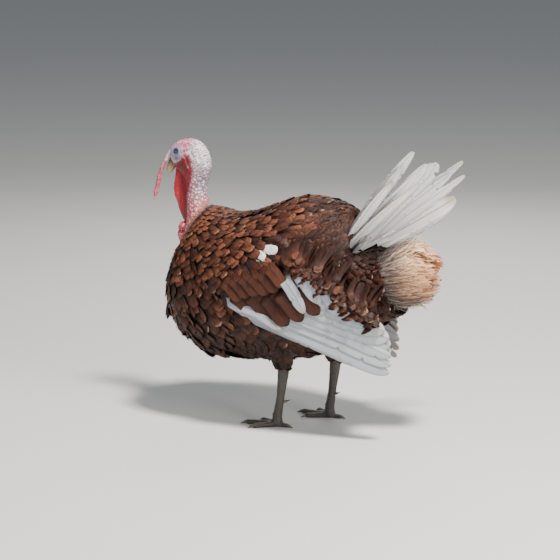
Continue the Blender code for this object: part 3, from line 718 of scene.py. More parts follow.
# A row of a wing's long feathers, from the lowest to the highest: the line of its roots and
# the line of its tips in (f, z), how many there are, their half width, how far out they lie
# over the wing's own surface at root and tip, and how sharp their tips are.
Row = namedtuple("Row", "name roots tips count half lies point")
PRIMARIES = Row("primaries", [(-0.005, 0.352), (-0.05, 0.352), (-0.105, 0.372)],
                [(-0.333, 0.242), (-0.385, 0.22), (-0.43, 0.203), (-0.436, 0.226),
                 (-0.436, 0.25)], 5, 0.0205, (0.001, -0.001), 0.22)
SECONDARIES = Row("secondaries", [(-0.095, 0.358), (-0.135, 0.4), (-0.15, 0.446)],
                  [(-0.434, 0.262), (-0.434, 0.281), (-0.43, 0.3), (-0.42, 0.32),
                   (-0.392, 0.342), (-0.34, 0.373)], 6, 0.0345, (0.003, 0.004), 0.3)
HAND_COVERTS = Row("primary_coverts", [(0.034, 0.386), (0.02, 0.376)],
                   [(-0.048, 0.338), (-0.09, 0.322), (-0.135, 0.31)],
                   4, 0.0145, (0.01, 0.006), 0.35)

# The long coverts over the secondaries, each with its root and tip in (f, z), half width, how
# far out it lies and its kind.
Covert = namedtuple("Covert", "root tip half over kind")
COVERTS = [Covert(*row) for row in [
    ((0.04, 0.44), (-0.02, 0.38), 0.0185, 0.015, "brown"),
    ((0.018, 0.452), (-0.044, 0.392), 0.019, 0.017, "brown"),
    ((-0.01, 0.46), (-0.072, 0.4), 0.0195, 0.0185, "brown"),
    ((-0.038, 0.466), (-0.1, 0.404), 0.02, 0.02, "brown"),
    ((-0.066, 0.476), (-0.128, 0.414), 0.02, 0.0215, "brown"),
    ((-0.092, 0.49), (-0.152, 0.43), 0.019, 0.023, "brown"),
    ((0.022, 0.405), (-0.056, 0.35), 0.021, 0.01, "brown"),
    ((-0.03, 0.415), (-0.106, 0.334), 0.024, 0.0115, "brown"),
    ((-0.075, 0.419), (-0.156, 0.322), 0.026, 0.013, "brown"),
    ((-0.12, 0.43), (-0.199, 0.338), 0.024, 0.0185, "brown"),
    ((-0.165, 0.45), (-0.246, 0.359), 0.024, 0.0215, "brown"),
    ((-0.135, 0.475), (-0.208, 0.362), 0.0175, 0.025, "white"),
    ((-0.172, 0.49), (-0.252, 0.392), 0.0205, 0.026, "white"),
    ((-0.205, 0.485), (-0.3, 0.38), 0.023, 0.0235, "white"),
]]


def along_line(line, share):
    """A point at a share of a polyline whose points are evenly spaced in share."""
    line = np.array(line)
    at = steps(len(line))
    return np.stack([np.interp(share, at, line[:, k]) for k in range(line.shape[1])], axis=-1)


class Flank:
    """How far out the solids reach at a place seen from the side."""

    def __init__(self, names):
        points, faces = solids(names)
        self.tree = BVHTree.FromPolygons([tuple(p) for p in points.tolist()], faces.tolist())

    def reach(self, f, z, sign):
        """How far out the solids are at f and z on a side, or 0 where there are none."""
        hit = self.tree.ray_cast(Vector(spot(f, sign * 0.6, z)), Vector((-sign, 0.0, 0.0)))[0]
        return abs(hit.x + ZERO_L) if hit else 0.0


def wing_line(root, tip, over, side, flank, rings, sag=0.01, clear=0.35, hug=False):
    """Centre line and upward directions of one wing feather from root to tip in (f, z).

    It starts sunk in the coat and is out at its full height at the share clear. With hug its
    root keeps to the body instead of the wing."""
    wing = WINGS[side]
    span_f, span_l = zip(*WING_SPAN)
    shares = steps(rings)
    root, tip = np.array(root), np.array(tip)
    flat = root + (tip - root) * shares[:, None]
    flat[:, 1] += sag * np.sin(math.pi * shares)
    out = []
    for share, (f, z) in zip(shares, flat):
        own = np.interp(f, span_f, span_l) - wing.tuck * share
        own = own * ramp(share, -0.3, 0.75) if hug else own
        out.append(max(own, flank.reach(f + wing.forward, z - wing.drop, wing.sign)))
    out = np.array(out)
    smooth = np.polyval(np.polyfit(shares, out, 4), shares)
    out = smooth + 0.4 * max(float((out - smooth).max()), 0.0)
    sunk = 0.016 if hug else 0.004
    out = np.minimum(out - sunk + (over + sunk) * ramp(shares, 0.0, clear), WING_LIMIT)
    path = np.array([spot(f + wing.forward, wing.sign * l, z - wing.drop)
                     for (f, z), l in zip(flat, out)])
    return path, np.tile(np.array([wing.sign, 0.0, 0.26]), (rings, 1))


def wing_row(row, side, flank, rings):
    """Centre lines and upward directions of one row of wing feathers."""
    lines = []
    for i in range(row.count):
        rib = i / (row.count - 1)
        over = row.lies[0] + (row.lies[1] - row.lies[0]) * rib + 0.0026 * i
        clear = 0.35 if row is HAND_COVERTS else 0.16
        lines.append(wing_line(along_line(row.roots, rib), along_line(row.tips, rib), over, side,
                               flank, rings, 0.012 * (0.4 + 0.6 * rib), clear))
    return zip(*lines)


def flight_width(along, point, seed, splits=2, deep=0.35):
    """Half width along a long feather: bare quill, full vane, rounded tip, a few splits."""
    draw = default_rng(seed)
    base = ramp(along, 0.0, 0.16) * 0.85 + 0.15
    past = np.clip((along - (1.0 - point)) / point, 0.0, 1.0)
    width = base * np.sqrt(np.maximum(1.0 - 0.93 * past ** 2.6, 0.0))
    for _ in range(splits):
        middle, narrow = draw.uniform(0.45, 0.97), draw.uniform(0.004, 0.01)
        width = width * (1.0 - draw.uniform(0.1, deep) * hump(along - middle, narrow))
    return width


def wing_feathers(side, flank, brown, white):
    """Primaries, secondaries and the long coverts of one wing."""
    sign = SIDES[side]
    for number, row in enumerate((PRIMARIES, SECONDARIES, HAND_COVERTS)):
        rings = 30 if row is HAND_COVERTS else 64
        paths, ups = wing_row(row, side, flank, rings)
        along = steps(rings)
        seed = 400 + 10 * number + (0 if side == "left" else 1)
        draw = default_rng(seed)
        widths = np.array([row.half * draw.uniform(0.94, 1.06)
                           * flight_width(along, row.point, seed + 50 * i, 3)
                           for i in range(row.count)])
        tint = columns(draw.uniform(0.0, 0.6, row.count), draw.uniform(0.0, 0.6, row.count), 1.0)
        piece = coat_piece("%s_%s_vanes" % (row.name, side), FLIGHT_VANE, paths, ups, widths, 0.16,
                           tint, 0.3, skew=0.18 * sign, strips=True, seed=seed)
        nodes = [] if row is HAND_COVERTS else [row.name + "_" + side]
        fit_out(piece, white, nodes)
    rings = 30
    along = steps(rings)
    draw = default_rng(470)
    for kind, paint, slot in (("brown", brown, "brown_plumage"), ("white", white, "white_plumage")):
        chosen = [c for c in COVERTS if c.kind == kind]
        lines = [wing_line(c.root, c.tip, c.over, side, flank, rings, 0.008) for c in chosen]
        blunt = 0.26 if kind == "brown" else 0.38
        widths = np.array([c.half * flight_width(along, blunt, 480 + int(1000 * c.half), 2, 0.12)
                           for c in chosen])
        long = np.array([math.dist(c.root, c.tip) for c in chosen])
        # Each covert's own tone at random, with painted shade darkening the longer, lower coverts that
        # lie under the row above.
        tone_and_shade = draw.uniform(0.18, 0.6, len(chosen)) * (1.0 - 0.62 * ramp(long, 0.09, 0.11))
        tint = columns(tone_and_shade, draw.uniform(0.0, 0.6, len(chosen)), 1.0)
        piece = coat_piece("greater_coverts_%s_%s" % (kind, side), FLIGHT_VANE, *zip(*lines),
                           widths, 0.05, tint, 0.22, skew=0.1 * sign, strips=True, seed=471)
        fit_out(piece, paint)


# The ragged edge of flank feathers that hangs over the top of the folded wing: the line of
# their tips in (f, z) from front to back.
OVERHANG = [(-0.192, 0.48), (-0.222, 0.468), (-0.256, 0.448), (-0.318, 0.404), (-0.375, 0.372),
            (-0.415, 0.342)]


def wing_overhang(side, brown):
    """Curled dark feathers of the flank that overlap the upper edge of the wing."""
    flank = Flank(BODY_NODES + ["undertail_coverts"])
    sign, rings, count = SIDES[side], 12, 190
    draw = default_rng(91)
    along = steps(rings)
    paths, ups, widths, tints = [], [], [], []
    for k in range(count):
        share = (k + draw.random()) / count
        tip = along_line(OVERHANG, share) + draw.normal(0.0, 0.006, 2)
        row = k % 3
        turn = math.radians(-44.0 + 22.0 * share + draw.normal(0.0, 24.0))
        tip = tip + np.array([math.cos(turn), -math.sin(turn)]) * 0.014 * row
        size = draw.uniform(0.058, 0.085)
        root = (tip[0] + math.cos(turn) * size, tip[1] - math.sin(turn) * size)
        path, up = wing_line(root, tip, 0.02 + 0.002 * row, side, flank, rings, 0.0, 0.7, True)
        curl = draw.uniform(-0.01, 0.004) * along ** 4
        paths.append(path + np.outer(curl, np.array([sign, 0.0, 0.0])))
        ups.append(up + np.array([0.0, 0.0, 0.25]) + draw.normal(0.0, 0.2, 3))
        widths.append(draw.uniform(0.0085, 0.013) * scale_width(along, 0.3, 0.45))
        light = 0.3 - 0.24 * float(ramp(share, 0.05, 0.35))
        tints.append((np.clip(draw.normal(light, 0.16), 0.0, 1.0), draw.random() ** 0.4, 0.0))
    piece = coat_piece("wing_overhang_" + side, DOWN_VANE, paths, ups, widths, 0.08, tints, 0.35,
                       seed=92)
    fit_out(piece, brown)


# One bunch of tail feathers, from the bird's left to its right: where its first and last tips
# are in (f, l, z), how many there are, their half width, how sharp their tips are and how far
# they bow out of the straight.
Bunch = namedtuple("Bunch", "first last count half point bow")
TAIL_ROOT = (-0.25, 0.0, 0.497)
BUNCHES = [Bunch(*row) for row in [
    ((-0.415, 0.125, 0.738), (-0.4755, 0.1, 0.812), 3, 0.0265, 0.62, 0.016),
    ((-0.448, 0.075, 0.706), (-0.4804, 0.07, 0.7576), 2, 0.022, 0.7, 0.008),
    ((-0.48, 0.045, 0.778), (-0.504, 0.0, 0.769), 3, 0.0315, 0.2, 0.004),
    ((-0.53, -0.104, 0.77), (-0.508, -0.085, 0.728), 3, 0.0215, 0.7, 0.0),
    ((-0.53, -0.136, 0.72), (-0.508, -0.13, 0.694), 2, 0.0205, 0.75, -0.004),
    ((-0.499, -0.15, 0.654), (-0.48, -0.16, 0.62), 2, 0.026, 0.2, -0.008),
    ((-0.4394, -0.16, 0.592), (-0.3873, -0.15, 0.55), 2, 0.017, 0.55, -0.006),
]]
# The way the lower faces of the first and last tail feathers look: the fan is cupped.
TAIL_FACES = (lie(-0.8, 0.3, -0.52), lie(-0.25, 0.93, -0.25))
# How far the roots of the first and last feathers are from the tail's root.
TAIL_FIRST, TAIL_LAST = (0.006, 0.012, 0.012), (-0.002, -0.014, -0.014)


def tail_feathers(white):
    """The raised tail: worn feathers in bunches with gaps between them."""
    rings = 80
    along = steps(rings)
    paths, ups, widths, tints = [], [], [], []
    draw = default_rng(31)
    for number, bunch in enumerate(BUNCHES):
        for i in range(bunch.count):
            share = i / max(bunch.count - 1, 1)
            order = (number + share) / len(BUNCHES)
            tip = np.array(bunch.first) * (1.0 - share) + np.array(bunch.last) * share
            start = (np.array(TAIL_ROOT) + np.array(TAIL_FIRST) * (1.0 - order)
                     + np.array(TAIL_LAST) * order)
            root, tip = spot(*start), spot(*tip)
            ahead = unit(tip - root)
            face = TAIL_FACES[0] * (1.0 - order) + TAIL_FACES[1] * order
            face = unit(face - ahead * (ahead @ face))
            across = np.cross(face, ahead)
            bow = bunch.bow * np.sin(math.pi * along ** 0.9) + draw.normal(0.0, 0.004) * along ** 2
            layer = -0.003 * (i - 0.5 * (bunch.count - 1)) + 0.012 * along ** 2
            paths.append(root + (tip - root) * along[:, None] + across * bow[:, None]
                         + face * (layer * ramp(along, 0.0, 0.3))[:, None])
            ups.append(np.tile(face + across * draw.normal(0.0, 0.14), (rings, 1)))
            widths.append(bunch.half * draw.uniform(0.93, 1.07)
                          * flight_width(along, bunch.point, 900 + 17 * number + 5 * i, 5, 0.55))
            worn = draw.uniform(0.5, 0.9) if number in (0, 3, 5) and i == 0 else draw.uniform(0.0, 0.2)
            tints.append((draw.uniform(0.0, 1.0), worn, 0.5))
    piece = coat_piece("tail_feathers", FLIGHT_VANE, paths, ups, widths, -0.22, tints, 0.2,
                       strips=True, seed=32)
    fit_out(piece, white, ["tail_fan"])


def white_paint(name, shady, sunny):
    """White flight feather: fine barbs, horn-coloured shaft, worn tan towards the tip, and painted
    shade: each feather between a shady and a sunny white, greyer along its rims.
    """
    paint = Paint(name, 0.5, 0.35, 0.15, 0.4)
    across, along, vane = paint.across_and_along()
    shade, wear, _ = paint.channels("tint")
    middle = paint.off_shaft(across)
    # Painted shade: each feather's white lies between the shady and the sunny colour by the tint's
    # shade.
    base = paint.mix(shade, shady, sunny)
    streak = paint.streaks(vane, 30.0, 2.5)
    base = paint.mix(paint.rise(streak, 0.45, 0.75, 0.0, 0.35), base, (0.42, 0.4, 0.34))
    worn = paint.plus(along, paint.times(paint.streaks(vane, 5.0, 9.0), 0.16))
    worn = paint.times(paint.rise(worn, 0.94, 1.06), wear)
    base = paint.mix(worn, base, (0.42, 0.27, 0.14))
    # Painted shade: a grey band along each rim, standing in for the shadow where the feathers overlap.
    edge = paint.rise(middle, 0.38, 0.495, 0.0, 0.6)
    base = paint.mix(edge, base, (0.24, 0.24, 0.25))
    shaft = paint.rise(middle, 0.04, 0.018)
    paint.colour(paint.mix(paint.times(shaft, 0.75), base, (0.24, 0.18, 0.12)))
    barbs = paint.barbs(middle, along, 2.0, -9.0, 6.0)
    paint.bump(paint.plus(paint.times(barbs, 0.5), streak), 0.3, 0.0006)
    return paint.material


# ---- finishes
def plumage_paint():
    """Chestnut vane: painted shade darkening it towards its base, barbed, glossy, with a thin dark edge.
    """
    paint = Paint("chestnut_vane", 0.42, 0.28, 0.02, 0.35)
    paint.give("Sheen Tint", (1.0, 0.8, 0.72))
    across, along, vane = paint.across_and_along()
    shade, wear, kind = paint.channels("tint")
    deep, rich, bright = (0.011, 0.0038, 0.0024), (0.07, 0.019, 0.0088), (0.285, 0.092, 0.042)
    base = paint.mix(paint.rise(shade, 0.0, 0.25), (0.022, 0.0075, 0.0045), rich)
    base = paint.mix(paint.rise(shade, 0.25, 1.0), base, bright)
    # Painted shade: each feather darkens from its tip towards its base, where the feather over it shades
    # it, less on coverts and loose barbs.
    shadow = paint.times(paint.rise(along, 0.9, 0.38), paint.rise(kind, 1.0, 0.0, 0.25, 1.0))
    base = paint.mix(shadow, base, deep)
    middle = paint.off_shaft(across)
    streak = paint.streaks(vane, 22.0, 3.0)
    base = paint.mix(paint.rise(streak, 0.35, 0.7, 0.0, 0.55), base, deep)
    edge = paint.math("MAXIMUM", paint.rise(along, 0.93, 0.985), paint.rise(middle, 0.43, 0.49))
    base = paint.mix(paint.times(edge, 0.85), base, deep)
    pale = paint.times(paint.rise(wear, 0.955, 0.975), paint.rise(along, 0.86, 0.97))
    base = paint.mix(paint.times(pale, 0.8), base, (0.44, 0.27, 0.17))
    shaft = paint.rise(middle, 0.034, 0.014, 0.0, 0.75)
    base = paint.mix(shaft, base, deep)
    cloud = paint.streaks(vane, 3.0, 5.0)
    base = paint.mix(paint.rise(cloud, 0.4, 0.7, 0.0, 0.45), base, rich)
    paint.colour(paint.mix(paint.rise(shade, 1.4, 1.6, 0.0, 0.92), base, (0.84, 0.8, 0.75)))
    paint.rough(paint.rise(streak, 0.2, 0.8, 0.42, 0.62))
    barbs = paint.barbs(middle, along, 1.1, -1.0, 11.0, 1.5)
    paint.bump(paint.plus(paint.times(barbs, 0.4), streak), 0.45, 0.0007)
    return paint.material


def skin_paint():
    """Bare skin coloured by the complexion attribute, with dark gaps between the leg scales."""
    paint = Paint("bare_skin", 0.42, 0.45)
    place = paint.place()
    colour = paint.attribute("complexion")
    mottle = paint.noise(place, 220.0, 4.0, 0.6)
    tone = paint.mix(paint.rise(mottle, 0.35, 0.7, 0.0, 0.5), colour, (0.3, 0.03, 0.04), "MULTIPLY")
    base = paint.mix(paint.rise(mottle, 0.3, 0.62), colour, tone)
    height = paint.node("ShaderNodeSeparateXYZ", {0: place}).outputs[2]
    gap = paint.times(paint.rise(height, 0.18, 0.165), paint.rise(paint.cells(place, 230.0), 0.14, 0.03))
    paint.colour(paint.mix(paint.times(gap, 0.6), base, (0.02, 0.017, 0.015)))
    grain = paint.plus(paint.cells(place, 520.0, "F1"), mottle)
    paint.bump(paint.minus(grain, paint.times(gap, 1.6)), 0.5, 0.0006)
    return paint.material


# ---- skin
EYE = [np.array(sum(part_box(name), Vector())) / 2.0 for name in EYE_NODES]
BROW = (EYE[0] + EYE[1]) / 2.0
HEAD_LEFT = unit(EYE[0] - EYE[1])
HEAD_AHEAD = unit(np.cross(UP, HEAD_LEFT) * -1.0)
EYE_RADIUS = 0.0066
EYE_TILT = 0.3                          # how far the lids' corners are turned down ahead
# Swellings and hollows of the head: a place ahead of, left of and above the eyes, how far it
# reaches and how high it stands. The last two are the ear and its rim.
EAR = (-0.0335, 0.031, 0.006)
HEAD_RELIEF = [((0.004, 0.017, 0.012), 0.007, 0.002), ((-0.01, 0.024, 0.009), 0.006, 0.0014),
               ((0.002, 0.022, 0.0), 0.011, -0.0022), ((-0.012, 0.03, -0.016), 0.011, 0.0016),
               (EAR, 0.003, -0.0026), (EAR, 0.0075, 0.001)]


def head_places(points):
    """Places on the head: forward of the eyes, left of the middle and above the eyes."""
    gap = points - BROW
    return gap @ HEAD_AHEAD, gap @ HEAD_LEFT, gap[:, 2]


def wrinkle(points, size, shift=0.0):
    """Smooth noise between about -1 and 1 with features of a size."""
    scaled = (points / size + shift).tolist()
    return np.array([noise.noise(p) for p in scaled])


def pebbles(points, size, shift=0.0):
    """0 in the creases and 1 on the tops of packed bumps of a size, and each bump's own value."""
    scaled = (points / size + shift).tolist()
    tops, own = [], []
    for p in scaled:
        gaps, centres = noise.voronoi(p)
        tops.append(gaps[1] - gaps[0])
        own.append((centres[0][0] * 12.9898 + centres[0][1] * 78.233 + centres[0][2] * 37.719) % 1.0)
    return ramp(np.array(tops), 0.0, 0.55), np.array(own)


def mesh_points(mesh):
    """The mesh's points, a row for each."""
    return read_table(mesh.vertices, "co", 3)


def mesh_normals(mesh):
    """The way out of the mesh at each point."""
    return read_table(mesh.vertices, "normal", 3)


def move_points(mesh, points):
    """Puts the mesh's points at new places."""
    mesh.vertices.foreach_set("co", points.ravel())
    mesh.update()


def refine(mesh, chosen, times):
    """Halves the faces that chosen picks by their middles, over and over."""
    shape = bmesh.new()
    shape.from_mesh(mesh)
    for _ in range(times):
        shape.faces.ensure_lookup_table()
        middles = np.array([face.calc_center_median()[:] for face in shape.faces])
        edges = set()
        for index in np.nonzero(chosen(middles))[0]:
            edges.update(shape.faces[index].edges)
        bmesh.ops.subdivide_edges(shape, edges=list(edges), cuts=1, use_grid_fill=True)
    for face in shape.faces:
        face.smooth = True
    shape.to_mesh(mesh)
    shape.free()
    mesh.update()


def on_head(points):
    """Which points are on the bare head and neck or just under the feathers' edge."""
    return (feather_line(points) > -0.012) & (points[:, 2] > 0.47)


def on_leg(points):
    """Which points are on the shanks and feet."""
    return points[:, 2] < 0.172


def eye_gaps(points):
    """How far the points are from each eye's middle."""
    return [np.linalg.norm(points - eye, axis=1) for eye in EYE]


def by_eyes(points):
    """Which points are close to an eye."""
    return np.minimum(*eye_gaps(points)) < 0.019


def settle(mesh, field, chosen):
    """Draws the chosen points of the skin onto a finer field."""
    points = mesh_points(mesh)
    here = chosen(points)
    moved = points[here]
    level = -comb.sizes_at(moved)[:, 4] * (1.0 - bareness(moved))
    for _ in range(3):
        error = np.clip(field.distance(moved) - level, -0.003, 0.003)
        moved = moved - field.normal(moved) * error[:, None]
    points[here] = moved
    move_points(mesh, points)


def neck_red(points):
    """1 on the red throat and front of the neck, 0 on the pale nape and crown."""
    f, z = f_of(points), points[:, 2]
    heights = [0.5, 0.56, 0.59, 0.62, 0.65, 0.68, 0.705, 0.74]
    border = np.interp(z, heights, [0.236, 0.242, 0.246, 0.246, 0.239, 0.227, 0.224, 0.226])
    blur = 0.005 * wrinkle(points, 0.007)
    top = np.interp(head_places(points)[0], [-0.032, -0.016, 0.002], [0.744, 0.731, 0.722])
    return ramp(f - border + blur, -0.008, 0.006) * ramp(top - z + blur, 0.0, 0.008)


def lids(points):
    """Eye openings: the skin inside sinks behind the eye, and round it makes two lids."""
    moved = points.copy()
    lid_of = np.zeros(len(points))
    for eye, sign in zip(EYE, SIDES.values()):
        near = np.linalg.norm(points - eye, axis=1) < 0.017
        gap = points[near] - eye
        out = HEAD_LEFT * sign
        along, up = gap @ HEAD_AHEAD, gap[:, 2]
        p = along * math.cos(EYE_TILT) - up * math.sin(EYE_TILT)
        q = along * math.sin(EYE_TILT) + up * math.cos(EYE_TILT)
        opening = np.sqrt((p / 0.0066) ** 2 + (q / np.where(q > 0, 0.0056, 0.0058)) ** 2)
        shell = eye + unit(gap) * (EYE_RADIUS + 0.0009 * hump(opening - 1.22, 0.35))[:, None]
        hold = 1.0 - ramp(opening, 1.3, 2.1)
        here = points[near] * (1.0 - hold)[:, None] + shell * hold[:, None]
        sunk = 1.0 - ramp(opening, 0.94, 1.08)
        here = here - out * (0.0075 * sunk)[:, None]
        facing = gap @ out > -0.004
        moved[near] = np.where(facing[:, None], here, points[near])
        lid_of[near] = np.maximum(lid_of[near], hump(opening - 1.2, 0.3) * facing)
    return moved, lid_of


def around(a, side, c, place, radius):
    """1 at a place that is on both sides of the head, falling to nothing past the radius."""
    ahead, left, up = place
    return hump(np.sqrt((a - ahead) ** 2 + (side - left) ** 2 + (c - up) ** 2), radius)


def off_throat_line(a, c):
    """How far ahead of the pale fold behind the throat."""
    return a - np.interp(c, [-0.048, -0.012], [-0.049, -0.034])


def carve_head(mesh):
    """Brow, cheek, ear, mouth corner, folds and caruncles of the bare head and neck.

    Gives back how deep in a crease and how near a lid's rim each point is.
    """
    points, normals = mesh_points(mesh), mesh_normals(mesh)
    here = on_head(points) & (bareness(points) > 0.05)
    p, n = points[here], normals[here]
    a, b, c = head_places(p)
    f, z = f_of(p), p[:, 2]
    height, side = np.zeros(len(p)), np.abs(b)
    for place, radius, rise in HEAD_RELIEF:
        height += rise * around(a, side, c, place, radius)
    gape = np.abs((a - 0.01) * 0.82 + (c + 0.028) * 0.57)
    height -= (0.0013 * hump(gape, 0.0016) * ramp(c, -0.05, -0.04) * ramp(-c, 0.02, 0.026)
               * ramp(a, -0.006, 0.002))
    # the wrinkles of the crown and of the back of the head
    crown = ramp(c, 0.004, 0.02) * ramp(-np.abs(a + 0.015), -0.06, -0.035)
    slant = (0.62 * a + 0.78 * c) / 0.0068 + 0.9 * wrinkle(p, 0.013, 3.0)
    broken = ramp(wrinkle(p * [1.0, 1.0, 0.8], 0.01, 6.0), -0.4, 0.0)
    folds = 1.0 - 2.0 * broken * hump(slant - np.round(slant), 0.34)
    behind = ramp(-a, 0.02, 0.034) * ramp(c, -0.075, -0.05)
    height += (0.0009 * crown + 0.0011 * behind) * np.clip(folds, -0.8, 1.0)
    # the caruncles: coarse and fine bumps
    red = neck_red(p)
    neck = ramp(0.728 - z, 0.0, 0.035) * (1.0 - 0.75 * red)
    border = hump(f - 0.224, 0.02) * ramp(0.7 - z, 0.0, 0.05)
    coarse, own = pebbles(p * [1.0, 1.0, 0.9], 0.009)
    fine, fine_own = pebbles(p, 0.0042, 5.0)
    rough_neck = np.clip(np.maximum(neck, border * (1.0 - red)), 0.0, 1.0)
    low_neck = ramp(0.66 - z, 0.0, 0.08)
    height += rough_neck * ((0.0018 + 0.0014 * low_neck) * coarse * (0.5 + own) - 0.0011)
    height += (0.0002 + 0.0006 * rough_neck) * (fine - 0.5) * (0.6 + 0.8 * fine_own)
    # the strands of the throat, the rings of the snood and the fold behind the throat
    throat = red * ramp(0.735 - z, 0.0, 0.03) * ramp(z, 0.5, 0.54)
    bend = 1.2 * wrinkle(p * [1.0, 1.0, 0.35], 0.02)
    strands = (np.sin((b + 0.55 * a) / 0.0013 + bend) * 0.5
               + wrinkle(p * [1.0, 1.0, 0.3], 0.0042))
    height += 0.0009 * throat * strands
    hang = ramp(a, 0.03, 0.04)
    height += 0.0005 * hang * np.sin(z / 0.00062 + 2.0 * wrinkle(p, 0.004))
    height += 0.0011 * hang * wrinkle(p, 0.011, 1.0)
    height += (0.0022 * hump(off_throat_line(a, c), 0.003) * ramp(c, -0.052, -0.04)
               * ramp(-c, 0.006, 0.016))
    lobes = ramp(0.552 - z, 0.0, 0.012) * ramp(f, 0.246, 0.256)
    height -= 0.0062 * lobes
    height += 0.0011 * lobes * (fine - 0.4)
    calm = 1.0 - 0.85 * np.maximum(*(hump(gap, 0.013) for gap in eye_gaps(p)))
    points[here] = p + n * (height * bareness(p) * calm)[:, None]
    points, lid_of = lids(points)
    move_points(mesh, points)
    # How deep in a crease each point is; the complexion paints creases with the skin's red crevice
    # colour where it is red, and with painted shade elsewhere and at the deepest.
    crease = np.zeros(len(points))
    specks = np.maximum(crown, hump(np.hypot(a + 0.034, c + 0.014), 0.03))
    gaps = ((1.0 - ramp(coarse, 0.0, 0.6)) * rough_neck
            + (0.55 + 0.45 * np.maximum(specks, lobes)) * (1.0 - ramp(fine, 0.0, 0.5)))
    lines = ramp(-np.clip(folds, -1.0, 1.0), 0.0, 0.9) * np.maximum(behind, crown)
    crease[here] = np.clip(np.maximum(gaps, lines), 0.0, 1.0)
    return crease, lid_of


def blend(colour, share, over):
    """A colour laid over others by a share."""
    share = np.clip(share, 0.0, 1.0)[:, None]
    return colour * (1.0 - share) + np.asarray(over) * share


def complexion(mesh, crease, lid_of):
    """The skin's colours, one for each point."""
    points = mesh_points(mesh)
    a, b, c = head_places(points)
    f, z, side = f_of(points), points[:, 2], np.abs(b)
    head = on_head(points)
    red, mottle = np.zeros(len(points)), np.zeros(len(points))
    red[head] = neck_red(points[head])
    mottle[head] = wrinkle(points[head], 0.011, 9.0)

    def patch(ahead, up, wide, high):
        return np.exp(-(((a - ahead) / wide) ** 2 + ((c - up) / high) ** 2))

    ruddy = ramp(0.262 - f, 0.062, 0.022) * ramp(0.735 - z, 0.0, 0.03)
    ruddy = np.maximum(ruddy, 0.9 * ramp(0.665 - z, 0.0, 0.07) * ramp(f, 0.17, 0.205))
    crown = ramp(c, -0.002, 0.014) * ramp(a, -0.056, -0.03) * ramp(0.034 - a, 0.0, 0.012)
    beside = ramp(side, 0.004, 0.012)
    cheek = patch(-0.034, -0.016, 0.016, 0.018) * beside
    face = patch(0.002, -0.005, 0.021, 0.022) * beside
    socket = patch(0.0, -0.001, 0.0115, 0.01) * beside
    lore = patch(0.012, -0.017, 0.009, 0.009) * ramp(mottle, -0.5, 0.3)
    under_eye = patch(-0.004, -0.02, 0.01, 0.006)
    # Painted shadow of the head: the throat under and behind the eye is a darker red.
    deep = patch(-0.02, -0.04, 0.022, 0.024) * red
    # Painted highlight: the front of the wattle is a bright coral.
    wattle_highlight = red * ramp(f, 0.266, 0.284) * ramp(0.702 - z, 0.0, 0.03)
    low = ramp(0.565 - z, 0.0, 0.03) * red
    stripe = hump(off_throat_line(a, c), 0.0026) * ramp(c, -0.05, -0.04) * ramp(-c, 0.006, 0.016)
    snood = ramp(a, 0.012, 0.022) * ramp(c, -0.03, -0.01) + ramp(a, 0.036, 0.044)
    root = snood * ramp(c, -0.03, -0.012) * ramp(0.046 - a, 0.0, 0.014)
    rim = hump(feather_line(points) + 0.01, 0.015) * ramp(0.246 - f, 0.0, 0.04) * ramp(z, 0.48, 0.52)
    # Crease colours: red crevices where the skin is red, and a dark grey-purple painted shade elsewhere.
    gap = blend(np.array([[0.17, 0.13, 0.19]]), ruddy, (0.38, 0.02, 0.045))
    gap = blend(gap, crown + cheek, (0.45, 0.06, 0.12))
    layers = [(0.4 * ramp(mottle, 0.0, 0.5), (0.8, 0.48, 0.55)), (0.45 * ruddy, (0.78, 0.42, 0.5)),
              (crown * (0.72 + 0.5 * mottle), (0.8, 0.22, 0.36)),
              (cheek * (0.75 + 0.8 * mottle), (0.55, 0.055, 0.13)),
              (0.92 * np.clip(crease, 0.0, 1.0), gap),
              (1.1 * face, (0.42, 0.47, 0.64)),
              ((1.45 + 0.5 * mottle) * socket, (0.045, 0.062, 0.17)),
              (0.75 * lore, (0.42, 0.46, 0.6)), (0.8 * under_eye, (0.07, 0.05, 0.1)),
              (0.98 * red, (0.3, 0.004, 0.014)), (0.7 * deep, (0.1, 0.004, 0.01)),
              (0.9 * wattle_highlight, (0.84, 0.042, 0.07)),
              # Painted shade: the deepest creases in the red skin darker still.
              (red * 0.55 * ramp(crease, 0.5, 0.9), (0.15, 0.004, 0.01)),
              (0.85 * low, (0.62, 0.04, 0.08)),
              (0.75 * low * ramp(0.45 - crease, 0.0, 0.3), (0.86, 0.42, 0.5)),
              (stripe * (0.5 + 0.6 * mottle), (0.8, 0.38, 0.44)),
              (snood, (0.46, 0.2, 0.23)), (snood * ramp(-c, 0.02, 0.11), (0.52, 0.1, 0.15)),
              (0.8 * root, (0.55, 0.48, 0.55)), (snood * ramp(-c, 0.13, 0.146), (0.5, 0.4, 0.42)),
              (ramp(lid_of, 0.3, 0.8), (0.022, 0.028, 0.062)),
              (0.9 * rim * (1.0 - red), (0.4, 0.16, 0.1)),
              # The ear's opening painted near black: painted shade in the hole.
              (around(a, side, c, EAR, 0.0034), (0.05, 0.01, 0.02)),
              # The legs' grey-brown, darker than their own pinkish horn: partly painted shade.
              (1.0 - ramp(z, 0.19, 0.205), (0.07, 0.062, 0.053))]
    colour = np.tile(np.array([[0.88, 0.8, 0.83]]), (len(points), 1))
    for share, over in layers:
        colour = blend(colour, share, over)
    bare = bareness(points)[:, None]
    under_feathers = np.array([[0.045, 0.016, 0.01]])
    point_colours(mesh, "complexion", under_feathers * (1.0 - bare) + colour * bare)


